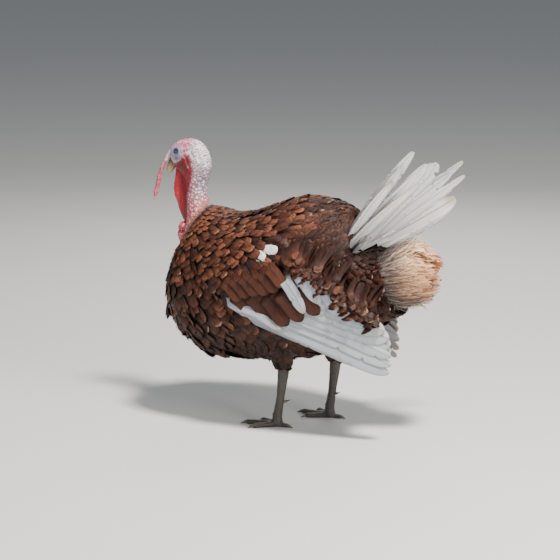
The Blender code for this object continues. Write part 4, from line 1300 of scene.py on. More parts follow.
def carve_legs(mesh):
    """Small round scales on the shanks and toes, which stay above the floor."""
    points, normals = mesh_points(mesh), mesh_normals(mesh)
    here = on_leg(points)
    p = points[here]
    tops, own = pebbles(p * [1.0, 1.0, 0.8], 0.0036, 2.0)
    height = 0.0007 * (tops - 0.5) * (0.7 + 0.6 * own) * (1.0 - ramp(p[:, 2], 0.15, 0.166))
    height *= ramp(p[:, 2], 0.0, 0.003)
    p = p + normals[here] * height[:, None]
    p[:, 2] = np.maximum(p[:, 2], 0.0)
    points[here] = p
    move_points(mesh, points)


def make_skin():
    """One closed skin for all the flesh, lying under the feathers by their depth."""
    body = field_of(SKIN_NODES + EYE_NODES, SKIN_CELL, 0)
    points = body.grid_points().reshape(-1, 3)
    bare = bareness(points)
    body.soften(1, (1.0 - bare).reshape(body.values.shape))
    near = np.abs(body.values.reshape(-1)) < BAND * 0.9
    depth = np.zeros(len(points))
    depth[near] = comb.sizes_at(points[near])[:, 4]
    depth = depth * (1.0 - bare) - BARE_RISE * bare + HOLLOW_DEPTH * tail_hollow(points)
    skin = new_mesh("skin", *body.surface(0.0, depth.reshape(body.values.shape)))
    mesh = skin.data
    refine(mesh, lambda p: on_head(p) | on_leg(p), 1)
    head = field_of(HEAD_NODES + ["neck_base"] + EYE_NODES, HEAD_CELL, 1, 0.012, HEAD_NODES)
    legs = field_of(LEG_NODES + ["thigh_left", "thigh_right"], LEG_CELL, 0, 0.012, LEG_NODES)
    settle(mesh, head, on_head)
    settle(mesh, legs, on_leg)
    refine(mesh, on_head, 1)
    refine(mesh, by_eyes, 1)
    settle(mesh, head, on_head)
    settle(mesh, legs, on_leg)
    crease, lid_of = carve_head(mesh)
    carve_legs(mesh)
    complexion(mesh, crease, lid_of)
    return skin


def skin_triangles(skin):
    """The skin's points and triangles."""
    skin.data.calc_loop_triangles()
    return mesh_points(skin.data), read_table(skin.data.loop_triangles, "vertices", 3, np.int32)


# ---- bill and eyes
def head_spot(a, b, c):
    """World place from places on the head: ahead, left and above the eyes."""
    return BROW + a * HEAD_AHEAD + b * HEAD_LEFT + np.array([0.0, 0.0, c])


# The bill's ridge, cutting edge and keel, ahead of and above the eyes, and its half width.
CULMEN = [(0.025, -0.012), (0.035, -0.026), (0.0425, -0.0425), (0.0462, -0.058),
          (0.0448, -0.0705)]
TOMIUM = [(0.012, -0.0235), (0.0215, -0.0385), (0.031, -0.0525), (0.0388, -0.0625),
          (0.0432, -0.07)]
KEEL = [(0.003, -0.036), (0.0135, -0.048), (0.0235, -0.059), (0.032, -0.0665),
        (0.0372, -0.069)]
BILL_HALF = [0.0112, 0.0098, 0.0076, 0.0048, 0.0009]


def bill_half(name, outer, width, palate):
    """One half of the bill between the cutting edge and the line of its ridge or keel."""
    rings, segments = 34, 30
    shares = steps(rings)
    edge, ridge = along_line(TOMIUM, shares), along_line(outer, shares)
    half = width * np.interp(shares, steps(5), BILL_HALF)
    points, grades = [], []
    for k in range(rings):
        for m in range(segments):
            turn = 2.0 * math.pi * m / segments
            rise = math.sin(turn)
            height = rise ** 0.85 if rise > 0.0 else -palate * abs(rise) ** 0.5
            spread = math.cos(turn) * (1.0 if rise > 0.0 else 0.9)
            spread = math.copysign(abs(spread) ** 0.9, spread)
            a, c = edge[k] + (ridge[k] - edge[k]) * height
            nostril = hump(math.hypot(a - 0.0265, (c + 0.03) * 0.7), 0.0022) if palate < 0.1 else 0.0
            points.append(head_spot(a, half[k] * spread * (1.0 - 0.22 * nostril), c))
            grades.append((shares[k], max(rise, 0.0), nostril))
    piece = closed_rings(name, points, segments)
    point_colours(piece.data, "grade", grades)
    return piece


def horn_paint():
    """Bill horn: maroon at the root, tan and yellowish towards the tip, faintly layered."""
    paint = Paint("bill_horn", 0.34, 0.5)
    place = paint.place()
    along, rise, hole = paint.channels("grade")
    cloud = paint.noise(place, 160.0, 3.0, 0.6)
    reach = paint.plus(along, paint.times(paint.minus(cloud, 0.5), 0.35))
    base = paint.mix(paint.rise(reach, 0.15, 0.62), (0.16, 0.045, 0.05), (0.56, 0.42, 0.24))
    base = paint.mix(paint.rise(rise, 0.55, 0.98, 0.0, 0.75), base, (0.14, 0.05, 0.045))
    # The nostril painted near black: painted shade in its opening.
    paint.colour(paint.mix(hole, base, (0.012, 0.006, 0.006)))
    paint.bump(paint.noise(place, 300.0, 2.0, 0.6, (1.0, 1.0, 4.0)), 0.25, 0.0004)
    return paint.material


def eye_ball(name, eye, sign):
    """A round eye with its clear front standing out a little."""
    shape = bmesh.new()
    bmesh.ops.create_uvsphere(shape, u_segments=40, v_segments=24, radius=1.0)
    order = {v: k for k, v in enumerate(sorted(shape.verts, key=lambda v: v.co[:]))}
    points = np.array([v.co[:] for v in order])
    faces = sorted([order[v] for v in f.verts] for f in shape.faces)
    shape.free()
    out = unit(HEAD_LEFT * sign + HEAD_AHEAD * 0.25)
    up = unit(UP - out * out[2])
    side = np.cross(up, out)
    off = np.arccos(np.clip(points[:, 2], -1.0, 1.0))
    size = EYE_RADIUS * (0.985 + 0.055 * hump(off, 0.55))
    world = eye + (points[:, :1] * side + points[:, 1:2] * up + points[:, 2:] * out) * size[:, None]
    piece = new_mesh(name, world, faces)
    point_values(piece.data, "off_axis", "FLOAT", off)
    return piece


def eye_paint():
    """Dark eye: black pupil, dark brown iris and a blue-grey rim under a wet surface."""
    paint = Paint("wet_eye", 0.04, 0.6)
    off = paint.attribute("off_axis", "Fac")
    fibres = paint.noise(paint.place(), 900.0, 3.0, 0.6)
    iris = paint.mix(fibres, (0.012, 0.007, 0.006), (0.04, 0.022, 0.018))
    base = paint.mix(paint.rise(off, 0.34, 0.38), (0.002, 0.002, 0.003), iris)
    paint.colour(paint.mix(paint.rise(off, 0.7, 0.8), base, (0.015, 0.018, 0.035)))
    paint.give("Coat Weight", 1.0)
    paint.give("Coat Roughness", 0.02)
    return paint.material


# ---- repeated small parts
def spots_object(name, places, ahead, out, sizes):
    """Loose points that carry the frame and the size of what is set on them."""
    mesh = bpy.data.meshes.new(name)
    mesh.vertices.add(len(places))
    mesh.vertices.foreach_set("co", np.asarray(places, dtype=np.float32).ravel())
    for label, table in (("ahead", ahead), ("out", out), ("size", sizes)):
        point_values(mesh, label, "FLOAT_VECTOR", table)
    return place_object(name, mesh)


class Growth(Nodes):
    """A node tree that sets one small part on every point of a mesh."""

    def __init__(self, name, numbers):
        self.tree = bpy.data.node_groups.new(name, "GeometryNodeTree")
        face = self.tree.interface
        face.new_socket("Geometry", in_out="INPUT", socket_type="NodeSocketGeometry")
        face.new_socket("Geometry", in_out="OUTPUT", socket_type="NodeSocketGeometry")
        for label, value in numbers.items():
            kind = "NodeSocketInt" if isinstance(value, int) else "NodeSocketFloat"
            face.new_socket(label, in_out="INPUT", socket_type=kind).default_value = value
        self.numbers = numbers
        self.given = self.tree.nodes.new("NodeGroupInput").outputs
        self.end = self.tree.nodes.new("NodeGroupOutput")

    def grown(self, kind, inputs=None, output=0, **settings):
        """One output of a new geometry node."""
        return self.node("GeometryNode" + kind, inputs, **settings).outputs[output]

    def vector(self, label):
        """A vector that each point of the mesh carries."""
        return self.grown("InputNamedAttribute", {"Name": label}, "Attribute", data_type="FLOAT_VECTOR")

    def finish(self, part, material):
        """Sets the part on the points, along ahead and with its back turned out."""
        aimed = self.node("FunctionNodeAlignRotationToVector", {"Vector": self.vector("ahead")},
                          axis="Y")
        turned = self.node("FunctionNodeAlignRotationToVector",
                           {"Rotation": aimed.outputs[0], "Vector": self.vector("out")},
                           axis="Z", pivot_axis="Y")
        vary = self.node("FunctionNodeRandomValue", {2: 0.92, 3: 1.08, "Seed": self.given["Seed"]},
                         data_type="FLOAT")
        size = self.node("ShaderNodeVectorMath", {0: self.vector("size"), "Scale": vary.outputs[1]},
                         operation="SCALE")
        dots = self.grown("MeshToPoints", {"Mesh": self.given["Geometry"]})
        seats = self.grown("InstanceOnPoints", {"Points": dots, "Instance": part,
                                                "Rotation": turned.outputs[0],
                                                "Scale": size.outputs[0]})
        real = self.grown("RealizeInstances", {0: seats})
        dressed = self.grown("SetMaterial", {"Geometry": real, "Material": material})
        self.feed(self.end.inputs[0], dressed)

    def grow(self, holder):
        """Runs the tree on the holder of the points and gives back a plain mesh object."""
        modifier = holder.modifiers.new(self.tree.name, "NODES")
        modifier.node_group = self.tree
        for item in self.tree.interface.items_tree:
            if item.in_out == "INPUT" and item.name in self.numbers:
                modifier[item.identifier] = self.numbers[item.name]
        shaped = holder.evaluated_get(bpy.context.evaluated_depsgraph_get())
        mesh = bpy.data.meshes.new_from_object(shaped)
        name = holder.name + "_grown"
        holder.modifiers.remove(modifier)
        bpy.data.objects.remove(holder)
        return place_object(name, mesh)


def bristle_tree(name, material, sides, steps, bend, girth, taper, seed):
    """A curved tapering hair, one unit long along Y, for every point."""
    growth = Growth(name, {"Sides": sides, "Steps": steps, "Bend": bend, "Girth": girth,
                           "Tip": taper, "Seed": seed})
    given = growth.given
    first, last = (growth.node("ShaderNodeCombineXYZ", {"Y": run, "Z": given["Bend"]}).outputs[0]
                   for run in (0.25, 0.7))
    line = growth.grown("CurvePrimitiveBezierSegment",
                        {"Resolution": given["Steps"], "Start": (0.0, 0.0, 0.0),
                         "End": (0.0, 1.0, 0.0), "Start Handle": first, "End Handle": last})
    share = growth.grown("SplineParameter", output="Factor")
    slim = growth.node("ShaderNodeMapRange", {"Value": share, "To Min": 1.0, "To Max": given["Tip"]})
    thick = growth.grown("SetCurveRadius", {"Curve": line, "Radius": slim.outputs[0]})
    ring = growth.grown("CurvePrimitiveCircle", {"Resolution": given["Sides"],
                                                 "Radius": given["Girth"]})
    hair = growth.grown("CurveToMesh", {"Curve": thick, "Profile Curve": ring, "Fill Caps": True})
    growth.finish(hair, material)
    return growth


def scute_tree(name, material, sides, rings, wrap, seed):
    """A low rounded plate bent round the limb, for every point."""
    growth = Growth(name, {"Sides": sides, "Rings": rings, "Wrap": wrap, "Seed": seed})
    plate = growth.grown("MeshUVSphere", {"Segments": growth.given["Sides"],
                                          "Rings": growth.given["Rings"], "Radius": 1.0})
    place = growth.grown("InputPosition")
    across = growth.node("ShaderNodeSeparateXYZ", {0: place}).outputs[0]
    fall = growth.times(growth.times(across, across), growth.given["Wrap"])
    shift = growth.node("ShaderNodeCombineXYZ", {"Z": growth.times(fall, -1.0)}).outputs[0]
    growth.finish(growth.grown("SetPosition", {"Geometry": plate, "Offset": shift}), material)
    return growth


# ---- legs, claws and spurs
# Where the feet and hocks are, in f, l and z.
FOOT_F = {"left": -0.066, "right": -0.158}
HOCK_F = {"left": -0.086, "right": -0.176}
FOOT_L, HOCK_Z = 0.078, 0.166
# A toe's length, angle from straight ahead in degrees, claw's length and relative girth.
Toe = namedtuple("Toe", "name length angle claw girth")
TOES = [Toe("inner", 0.066, -34.0, 0.017, 1.0), Toe("middle", 0.09, 0.0, 0.02, 1.0),
        Toe("outer", 0.07, 33.0, 0.017, 1.0), Toe("hind", 0.034, 172.0, 0.015, 0.82)]
TOE_RADIUS = 0.0098
TOE_OUT = 7.0                            # degrees the feet are turned out


def toe_line(side, toe, share):
    """Middle of a toe at a share of its length, its direction and its radius there."""
    angle = math.radians(toe.angle + TOE_OUT)
    ahead = lie(math.cos(angle), SIDES[side] * math.sin(angle), 0.0)
    radius = TOE_RADIUS * toe.girth * (1.0 - 0.34 * share)
    radius *= 1.0 + 0.07 * math.cos(6.0 * math.pi * share)
    start = spot(FOOT_F[side], SIDES[side] * FOOT_L, 0.8 * radius)
    return start + ahead * toe.length * share, ahead, radius


def leg_scutes(skin, material):
    """Broad overlapping plates down the front of the shanks and along the tops of the toes."""
    points, faces = skin_triangles(skin)
    near = on_leg(points)[faces].all(1)
    tree = BVHTree.FromPolygons(points.tolist(), faces[near].tolist())
    places, aheads, outs, sizes = [], [], [], []

    def set_plate(origin, inward, ahead, size):
        """Sets a plate where the way inward meets the skin, if it clears the floor."""
        hit, normal, _, _ = tree.ray_cast(Vector(origin), Vector(inward), 0.06)
        if hit is None:
            return
        out = np.array(normal[:])
        out = out if out @ inward < 0.0 else -out
        inward_only = unit(-inward - ahead * (ahead @ -inward))
        out = unit(out * 0.35 + inward_only * 0.65)
        place = np.array(hit[:]) + out * size[2] * 0.15
        if place[2] < size[1] * 0.6:
            return
        places.append(place)
        ahead = unit(ahead - out * (ahead @ out))
        outs.append(unit(out - ahead * 0.12))
        aheads.append(ahead)
        sizes.append(size)

    for side, sign in SIDES.items():
        rows = 19
        for k in range(rows):
            share = (k + 0.5) / rows
            z = HOCK_Z - 0.004 - (HOCK_Z - 0.03) * share
            f = HOCK_F[side] + (FOOT_F[side] - HOCK_F[side]) * share
            for column, turn in ((0, 24.0), (1, -24.0)):
                height = z - 0.0035 * column
                facing = lie(math.cos(math.radians(turn)), math.sin(math.radians(turn)), 0.0)
                middle = spot(f, sign * FOOT_L, height)
                girth = 0.88 + 0.25 * abs(share - 0.5)
                set_plate(middle + facing * 0.04, -facing, np.array([0.0, 0.0, -1.0]),
                          (0.0064 * girth, 0.005, 0.0013))
        for toe in TOES:
            count = int(toe.length / 0.0052)
            for k in range(count):
                share = (k + 0.9 + (1.2 if toe.name != "hind" else 0.6)) / (count + 1.2)
                if share > 1.0:
                    continue
                middle, ahead, radius = toe_line(side, toe, share)
                set_plate(middle + UP * 0.04, -UP, ahead, (radius * 0.8, 0.004, 0.0013))
    tree_of_plates = scute_tree("scutes", material, 12, 6, 1.25, 3)
    return tree_of_plates.grow(spots_object("leg_plates", places, aheads, outs, sizes))


def horn_loft(name, middles, ahead, radii, flat):
    """A smooth tapering nail or spur along its middle line, cut off level at the floor."""
    side = unit(np.cross(UP, ahead))
    segments, points = 14, []
    for middle, radius in zip(middles, radii):
        for m in range(segments):
            turn = 2.0 * math.pi * m / segments
            here = middle + side * math.cos(turn) * radius * flat
            here = here + np.array([0.0, 0.0, math.sin(turn) * radius])
            here[2] = max(here[2], 0.0)
            points.append(here)
    return closed_rings(name, points, segments, 1e-6)


def claws_and_spurs(material):
    """A nail on every toe and a short spur behind each shank."""
    for side, sign in SIDES.items():
        for toe in TOES:
            end, ahead, _ = toe_line(side, toe, 1.0)
            middles, radii = [], []
            for share in steps(16):
                size = 0.005 * (1.0 - share) ** 0.75 + 0.0004
                height = end[2] * (1.0 - share ** 1.6) + 0.0022 * math.sin(math.pi * share) * (1 - share)
                here = end + ahead * toe.claw * share
                here[2] = max(height, 0.45 * size)
                middles.append(here)
                radii.append(size * 0.9)
            name = "claw_%s_%s" % (toe.name, side)
            fit_out(horn_loft(name + "_nail", middles, ahead, radii, 0.88), material, [name])
        back = FOOT_F[side] + (HOCK_F[side] - FOOT_F[side]) * 0.35
        middles, radii = [], []
        for share in steps(18):
            middles.append(spot(back - 0.004 - 0.026 * share, sign * (FOOT_L - 0.01 * share),
                                0.072 + 0.007 * share ** 2))
            radii.append(0.0058 * (1.0 - share) ** 0.9 + 0.0005)
        piece = horn_loft("spur_%s_horn" % side, middles, lie(-1.0, 0.0, 0.0), radii, 0.95)
        fit_out(piece, material, ["spur_" + side])


def claw_paint(name, dark, pale):
    """Nail or plate horn, streaked along by fine growth lines."""
    paint = Paint(name, 0.38, 0.5)
    place = paint.place()
    cloud = paint.noise(place, 110.0, 3.0, 0.6)
    paint.colour(paint.mix(paint.rise(cloud, 0.3, 0.7), dark, pale))
    lines = paint.noise(place, 420.0, 3.0, 0.6, (1.0, 1.0, 0.4))
    paint.rough(paint.rise(lines, 0.3, 0.7, 0.32, 0.52))
    paint.bump(lines, 0.3, 0.0004)
    return paint.material


# ---- beard and hairs
BEARD_ROOT = (0.289, 0.0, 0.366)
BEARD_TIP = (0.319, 0.0, 0.264)


def beard(material):
    """A tassel of coarse black bristles from the middle of the breast."""
    draw = default_rng(77)
    count = 230
    turn, share = draw.uniform(0, 2 * math.pi, count), np.sqrt(draw.random(count))
    places, aheads, outs, sizes = [], [], [], []
    for k in range(count):
        across, deep = math.cos(turn[k]) * share[k], math.sin(turn[k]) * share[k]
        root = spot(BEARD_ROOT[0] - 0.006 + 0.002 * deep, 0.0055 * across, BEARD_ROOT[2] + 0.004 * deep)
        shorter = 0.02 * draw.random() ** 2 + 0.008 * share[k] ** 2
        tip = spot(BEARD_TIP[0] + 0.006 * deep, 0.007 * across + draw.normal(0.0, 0.0008),
                   BEARD_TIP[2] + shorter)
        gap = tip - root
        places.append(root)
        aheads.append(unit(gap))
        outs.append(lie(1.0, 0.1 * across, 0.25))
        sizes.append([float(np.linalg.norm(gap))] * 3)
    tree = bristle_tree("beard_bristles", material, 5, 9, 0.105, 0.0058, 0.45, 5)
    return tree.grow(spots_object("beard_hairs", places, aheads, outs, sizes))


def head_hairs(skin, material, name, count, seed, keep, long, girth):
    """Sparse fine hairs lying back over the bare skin."""
    points, normals = mesh_points(skin.data), mesh_normals(skin.data)
    draw = default_rng(seed)
    chosen = np.nonzero(keep(points, normals))[0]
    chosen = draw.choice(chosen, size=min(count, len(chosen)), replace=False)
    p, n = points[chosen], normals[chosen]
    back = lie(-0.55, 0.0, -0.85) + draw.normal(0.0, 0.28, (len(p), 3))
    ahead = unit(unit(back - dot(back, n)[:, None] * n) + 0.34 * n)
    sizes = np.repeat(draw.uniform(0.6, 1.0, len(p))[:, None] * long, 3, axis=1)
    tree = bristle_tree(name + "_tree", material, 3, 5, -0.1, girth / long, 0.25, seed)
    return tree.grow(spots_object(name, p - n * 0.0004, ahead, n, sizes))


def hair_paint(name, dark, pale):
    """Hair between two tones, finely streaked."""
    paint = Paint(name, 0.45, 0.4)
    place = paint.place()
    cloud = paint.noise(place, 60.0, 2.0, 0.5)
    paint.colour(paint.mix(paint.rise(cloud, 0.35, 0.65), dark, pale))
    paint.bump(paint.noise(place, 900.0, 2.0, 0.5), 0.2, 0.0002)
    return paint.material


# ---- soft feathers of the tail
# Flat rings of the undertail from the vent to the tips: the back's and the keel's place in
# (f, z) and the half width.
UNDERTAIL = [(-0.268, 0.476, -0.296, 0.368, 0.058), (-0.342, 0.51, -0.366, 0.35, 0.082),
             (-0.415, 0.536, -0.424, 0.356, 0.082), (-0.466, 0.54, -0.478, 0.374, 0.07),
             (-0.516, 0.51, -0.518, 0.41, 0.04)]


def undertail_place(share, turn, out):
    """A place in the undertail: share from vent to tips, turned round and out from its middle."""
    ring = along_line(UNDERTAIL, share)
    back, keel, half = ring[..., 0:2], ring[..., 2:4], ring[..., 4]
    flat = (back + keel) / 2.0 + (back - keel) / 2.0 * (np.cos(turn) * out)[..., None]
    return np.stack([half * np.sin(turn) * out - ZERO_L, ZERO_F - flat[..., 0], flat[..., 1]], axis=-1)


def undertail(tan):
    """The soft loose undertail coverts, ragged tan feathers that spread from the tail's root."""
    layers = [("inner", 150, 10, 0.2, 0.72, 0.01, 41), ("outer", 520, 10, 0.74, 1.0, 0.0052, 42),
              ("wisps", 3300, 7, 0.72, 1.07, 0.0012, 43)]
    for name, count, rings, inside, outside, half, seed in layers:
        draw = default_rng(seed)
        along = steps(rings)
        first = draw.uniform(-0.04, 0.58, count)
        last = np.clip(first + draw.uniform(0.34, 0.62, count), 0.0, draw.uniform(0.72, 1.06, count))
        turn = draw.uniform(0.0, 2.0 * math.pi, count)
        out_end = draw.uniform(inside, outside, count)
        last = last * (0.94 + 0.09 * np.sin(5.0 * turn + 1.0))
        share = first[:, None] + (last - first)[:, None] * along
        out = out_end[:, None] * (0.7 + 0.3 * along ** 0.7)
        flare = (0.26 * hump(turn - math.pi * 2.0 * np.round(turn / (math.pi * 2.0)), 0.75)
                 * hump(last - 0.62, 0.22) * draw.random(count))
        out = out + flare[:, None] * along ** 2
        lock = draw.normal(0.0, 0.09, count) + 0.11 * np.sin(8.0 * turn)
        swirl = turn[:, None] + lock[:, None] * along
        paths = undertail_place(share, swirl, out)
        ups = unit(undertail_place(share, swirl, out + 0.1) - paths)
        curl = draw.normal(0.001, 0.0045, count)[:, None] * along ** 2.2
        stray = draw.normal(0.0, 0.0042, (count, 1, 3)) * (along ** 2)[:, None]
        paths = paths + ups * curl[..., None] + stray
        ups = ups + draw.normal(0.0, 0.2, (count, 1, 3))
        widths = half * draw.uniform(0.7, 1.2, count)[:, None] * scale_width(along, 0.25, 0.4)
        tint = columns(draw.random(count), 0.5 + 0.5 * np.cos(turn) + draw.normal(0.0, 0.08, count),
                       share.mean(1))
        vane = DOWN_VANE if half > 0.004 else WISP_VANE
        piece = coat_piece("undertail_" + name, vane, paths, ups, widths,
                           draw.uniform(0.1, 0.4, count), tint, 0.1, seed=seed)
        fit_out(piece, tan, ["undertail_coverts"] if name == "outer" else [])


def undertail_skirt(coat, skin, brown):
    """Loose dark feathers behind the vent, from the tail's root towards the undertail."""
    points, faces = skin_triangles(skin)
    root = spot(TAIL_ROOT[0] + 0.03, 0.0, TAIL_ROOT[2] + 0.01)

    def away(p):
        return unit(unit(p - root) * [0.45, 1.0, 0.9] + np.array([0.0, 0.55, 0.0]))

    def open_ground(p):
        return (~covered(p) & (bareness(p) < 0.5) & (f_of(p) < -0.18) & (tail_hollow(p) < 0.85)
                & (p[:, 2] < 0.5))

    def even(p):
        return away(p), np.full(len(p), 0.016), np.full(len(p), 0.01)

    roots = scatter(points, faces, open_ground, even, 47)
    count = len(roots)
    draw = default_rng(48)
    length = (draw.uniform(0.045, 0.07, count) * (1.0 - 0.45 * ramp(roots[:, 2], 0.42, 0.47))
              * (1.0 - 0.35 * ramp(-f_of(roots), 0.28, 0.36)))
    paths, ups = comb_out(coat, roots, length, COAT_RINGS, np.full(count, -0.01),
                          draw.uniform(-0.004, 0.006, count), away,
                          draw.normal(0.0, 0.16, count), 0.55)
    ups = ups + draw.normal(0.0, 0.25, (count, 1, 3))
    widths = draw.uniform(0.005, 0.009, count)[:, None] * scale_width(steps(COAT_RINGS), 0.4, 0.45)
    # Very dark: partly the feathers' own dark brown, partly painted shade for the hollow behind the vent
    # that they fill.
    tint = columns(np.clip(draw.normal(0.08, 0.14, count), 0.0, 1.0), draw.random(count) ** 0.5, 0.0)
    piece = coat_piece("undertail_skirt", DOWN_VANE, paths, ups, widths,
                       draw.uniform(0.1, 0.4, count), tint, 0.1, seed=49)
    fit_out(piece, brown)


def down_paint():
    """Soft tan feather: grey-brown at the tail's root, cream above, orange-tan at the tips."""
    paint = Paint("tan_down_vane", 0.7, 0.2, 0.6, 0.5)
    _, along, vane = paint.across_and_along()
    shade, high, back = paint.channels("tint")
    tan = paint.mix(shade, (0.46, 0.25, 0.13), (0.66, 0.41, 0.25))
    cream = paint.mix(shade, (0.74, 0.48, 0.28), (0.9, 0.66, 0.45))
    tan = paint.mix(paint.rise(high, 0.45, 0.95), tan, cream)
    low = paint.mix(shade, (0.16, 0.08, 0.04), (0.3, 0.16, 0.085))
    tan = paint.mix(paint.rise(high, 0.26, 0.06), tan, low)
    place = paint.plus(back, paint.times(along, 0.22))
    ripe = paint.mix(shade, (0.6, 0.24, 0.1), (0.78, 0.42, 0.22))
    tip = paint.mix(paint.rise(place, 0.72, 0.98, 0.0, 0.85), tan, ripe)
    base = paint.mix(paint.rise(place, 0.42, 0.74), (0.105, 0.07, 0.064), tip)
    streak = paint.streaks(vane, 16.0, 2.5)
    paint.colour(paint.mix(paint.rise(streak, 0.42, 0.75, 0.0, 0.4), base, (0.2, 0.11, 0.065)))
    paint.bump(streak, 0.4, 0.0006)
    return paint.material


def tail_coverts(white):
    """Short pale feathers over the quills at the root of the tail, on both faces."""
    rings = 14
    along = steps(rings)
    draw = default_rng(61)
    paths, ups, widths, tints = [], [], [], []
    for k in range(70):
        order = draw.random() * (len(BUNCHES) - 1.001)
        one, two = BUNCHES[int(order)], BUNCHES[int(order) + 1]
        tip = np.array(one.last) + (np.array(two.first) - np.array(one.last)) * (order % 1.0)
        root, tip = spot(*TAIL_ROOT), spot(*tip)
        ahead = unit(unit(tip - root) + draw.normal(0.0, 0.06, 3))
        face = TAIL_FACES[0] * (1.0 - order / len(BUNCHES)) + TAIL_FACES[1] * order / len(BUNCHES)
        face = unit(face - ahead * (ahead @ face))
        facing = 1.0 if k % 3 else -1.0
        size = draw.uniform(0.05, 0.15) * (0.55 + 0.45 * float(ramp(order, 1.0, 3.0)))
        out = facing * (0.007 + 0.006 * along + 0.004 * draw.random())
        paths.append(root + ahead * (0.005 + size * along)[:, None] + face * out[:, None])
        ups.append(np.tile(face * facing + draw.normal(0.0, 0.2, 3), (rings, 1)))
        widths.append(0.0055 * draw.uniform(0.7, 1.2) * scale_width(along, 0.25, 0.4))
        tints.append((draw.random(), draw.uniform(0.2, 1.0), 0.5))
    piece = coat_piece("tail_coverts", DOWN_VANE, paths, ups, widths, 0.15, tints, 0.3, seed=63)
    fit_out(piece, white)


# ---- body plumage
def spacing(points):
    """The feathers' lie, how much of each shows and how far apart they are in a row."""
    weights = comb.weights(points)
    sizes = weights @ comb.sizes
    return unit(comb.lie_at(points, weights)), sizes[:, 2], sizes[:, 3]


def body_plumage(coat, skin, paint):
    """The coat, one piece of whole feathers and one of loose barbs for every kind of tract."""
    points, faces = skin_triangles(skin)
    roots = scatter(points, faces, covered, spacing, 11)
    names = [t.name for t in TRACTS]
    weights = comb.weights(roots)
    tract_of = np.array(names)[np.argmax(weights, axis=1)]
    for number, tract in enumerate(sorted(set(names))):
        chosen = tract_of == tract
        if not chosen.any():
            continue
        here = roots[chosen]
        sizes = weights[chosen] @ comb.sizes
        count = len(here)
        draw = default_rng(100 + number)
        length = sizes[:, 0] * draw.uniform(0.8, 1.2, count)
        yaw = draw.normal(0.0, 0.13, count) * sizes[:, 5]
        low = -sizes[:, 4]
        high = draw.uniform(-0.001, 0.0022, count) + 0.0026 * sizes[:, 5] * draw.random(count) ** 2
        paths, ups = comb_out(coat, here, length, COAT_RINGS, low, high, comb.lie_at, yaw)
        side = np.cross(np.gradient(paths, axis=1), ups)
        roll = draw.normal(0.0, 0.17, count) * sizes[:, 5]
        ups = unit(ups + unit(side) * roll[:, None, None])
        tip = 0.35 if tract == "rump" else 0.7
        widths = 0.5 * sizes[:, 1][:, None] * scale_width(steps(COAT_RINGS), tip)
        widths = widths * draw.uniform(0.9, 1.12, count)[:, None]
        # Painted shade: the lower a feather sits, the darker it is and the less it varies, for the shade
        # under the body.
        lit = ramp(here[:, 2], 0.19, 0.37)
        light = SHADES[tract] * (0.05 + 0.95 * lit)
        light = np.clip(light + draw.normal(0.0, 0.26, count) * (0.25 + 0.75 * lit), 0.0, 1.0)
        tips_f, tips_z = f_of(paths[:, -2]), paths[:, -2, 2]
        for f, z, reach in WHITE_MARKS:
            marked = (np.hypot(tips_f - f, tips_z - z) < reach) & (np.abs(here[:, 0]) > 0.08)
            light[marked] = 2.0
        rusty = ramp(feather_line(here), -0.055, -0.025) * ramp(0.235 - tips_f, 0.0, 0.02)
        light = np.where(light < 1.5, np.minimum(light + 0.45 * rusty, 1.2), light)
        wear = draw.random(count) ** (0.5 if tract in ("breast", "flank", "wing") else 1.0)
        tint = columns(light, wear, 0.0)
        vane = SMALL_VANE if tract == "ruff" else BODY_VANE
        piece = coat_piece("coat_" + tract, vane, paths, ups, widths,
                           draw.uniform(0.1, 0.34, count), tint, 0.32, seed=200 + number)
        fit_out(piece, paint)
        barbs = FINE_BARBS if tract in ("rump", "saddle", "ruff") else BARBS
        piece = fringe("barbs_" + tract, paths, ups, widths, tint, barbs, 300 + number)
        fit_out(piece, paint)


# ---- stage
VIEW_WIDTH = 1.6                         # how much of the scene the camera sees across


def stage():
    """Pale floor, soft lights and the camera."""
    bpy.ops.mesh.primitive_plane_add(size=60.0, location=(0.0, 0.0, 0.0))
    floor = bpy.context.object
    floor.name = "studio_floor"
    pale = Paint("studio_floor", 0.9, 0.2)
    pale.colour((0.6, 0.6, 0.58))
    floor.data.materials.append(pale.material)

    world = bpy.data.worlds.new("studio_air")
    bpy.context.scene.world = world
    world.use_nodes = True
    air = world.node_tree.nodes["Background"].inputs
    air["Color"].default_value = (0.8, 0.86, 0.95, 1.0)
    air["Strength"].default_value = 0.3

    middle = Vector((0.0, 0.0, 0.4))
    lamps = [("key_light", (1.15, 1.5, 4.4), 0.7, 500.0, (1.0, 0.95, 0.88)),
             ("fill_light", (3.2, -2.6, 1.8), 2.6, 24.0, (0.9, 0.95, 1.0)),
             ("tail_light", (1.5, 3.0, 1.5), 1.2, 85.0, (1.0, 0.98, 0.94)),
             ("far_light", (-3.0, -0.8, 2.4), 2.2, 50.0, (1.0, 0.98, 0.95))]
    for name, place, size, power, tone in lamps:
        light = bpy.data.lights.new(name, "AREA")
        light.size = size
        light.energy = power
        light.color = tone
        lamp = place_object(name, light)
        lamp.location = place
        lamp.rotation_mode = "QUATERNION"
        lamp.rotation_quaternion = (middle - Vector(place)).to_track_quat("-Z", "Y")

    azimuth, elevation, distance = math.radians(115.0), math.radians(11.0), 6.5
    back = Vector((math.sin(azimuth) * math.cos(elevation),
                   -math.cos(azimuth) * math.cos(elevation), math.sin(elevation)))
    aim = Vector((-0.0817, -0.0805, 0.3857))
    lens = bpy.data.cameras.new("camera")
    lens.sensor_width = 36.0
    lens.lens = lens.sensor_width * distance / VIEW_WIDTH
    lens.clip_end = 200.0
    eye = place_object("camera", lens)
    eye.rotation_mode = "QUATERNION"
    eye.location = aim + back * distance
    eye.rotation_quaternion = (-back).to_track_quat("-Z", "Y")
    bpy.context.scene.camera = eye


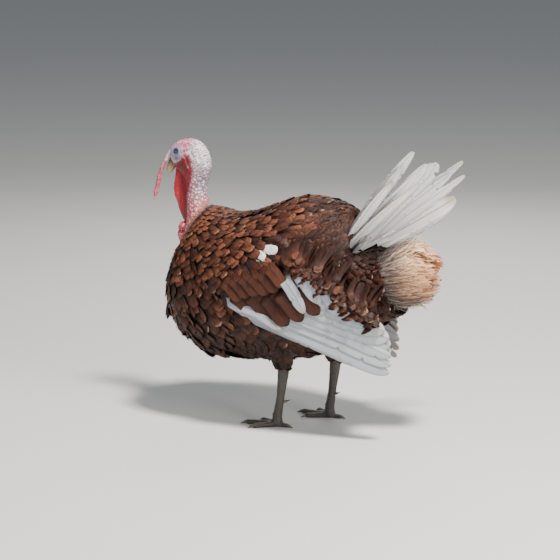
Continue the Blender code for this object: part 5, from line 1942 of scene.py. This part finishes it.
# ---- making
stage()
coat_field = field_of(BODY_NODES + ["undertail_coverts"], CELL, 2)
skin_piece = make_skin()
fit_out(skin_piece, skin_paint(), SKIN_NODES)
brown_vane = plumage_paint()
# The wing's white is greyer and bluer than the tail's: painted shade.
shaded_white_vane = white_paint("white_wing_vane", (0.31, 0.35, 0.41), (0.51, 0.53, 0.54))
body_plumage(coat_field, skin_piece, brown_vane)
flank = Flank(BODY_NODES)
for wing_side in SIDES:
    wing_feathers(wing_side, flank, brown_vane, shaded_white_vane)
    wing_overhang(wing_side, brown_vane)
# The tail's white, varied feather by feather between shady and sunny: painted shade between the
# feathers.
white_tail = white_paint("white_tail_vane", (0.6, 0.62, 0.66), (0.98, 0.97, 0.94))
tail_feathers(white_tail)
tan_vane = down_paint()
undertail(tan_vane)
undertail_skirt(coat_field, skin_piece, brown_vane)
tail_coverts(white_tail)

bill_horn = horn_paint()
fit_out(bill_half("upper_bill", CULMEN, 1.0, 0.04), bill_horn, ["beak_upper"])
fit_out(bill_half("lower_bill", KEEL, 0.93, 0.14), bill_horn, ["beak_lower"])
wet_eye = eye_paint()
for eye_node, eye, sign in zip(EYE_NODES, EYE, SIDES.values()):
    fit_out(eye_ball(eye_node + "_ball", eye, sign), wet_eye, [eye_node])
# Leg plates darker than their own horn: partly painted shade.
leg_horn = claw_paint("leg_plate_horn", (0.045, 0.038, 0.033), (0.105, 0.089, 0.076))
fit_out(leg_scutes(skin_piece, leg_horn), leg_horn)
claws_and_spurs(claw_paint("claw_horn", (0.045, 0.032, 0.026), (0.19, 0.14, 0.1)))
black_hair = hair_paint("beard_hair", (0.01, 0.008, 0.008), (0.035, 0.024, 0.02))
fit_out(beard(black_hair), black_hair, ["beard"])
dark_hair = hair_paint("head_hair", (0.03, 0.018, 0.014), (0.1, 0.055, 0.035))
tan_hair = hair_paint("nape_hair", (0.3, 0.13, 0.055), (0.5, 0.28, 0.14))
crown_hairs = head_hairs(
    skin_piece, dark_hair, "crown_hairs", 260, 81,
    lambda p, n: (p[:, 2] > 0.7) & (n[:, 2] > -0.3) & (f_of(p) < 0.262), 0.0065, 0.00008)
fit_out(crown_hairs, dark_hair)
nape_hairs = head_hairs(
    skin_piece, tan_hair, "nape_hairs", 420, 82,
    lambda p, n: (feather_line(p) > -0.004) & (p[:, 2] < 0.68) & (p[:, 2] > 0.598)
    & (n[:, 1] > 0.55) & (f_of(p) < 0.214), 0.012, 0.0002)
fit_out(nape_hairs, tan_hair)
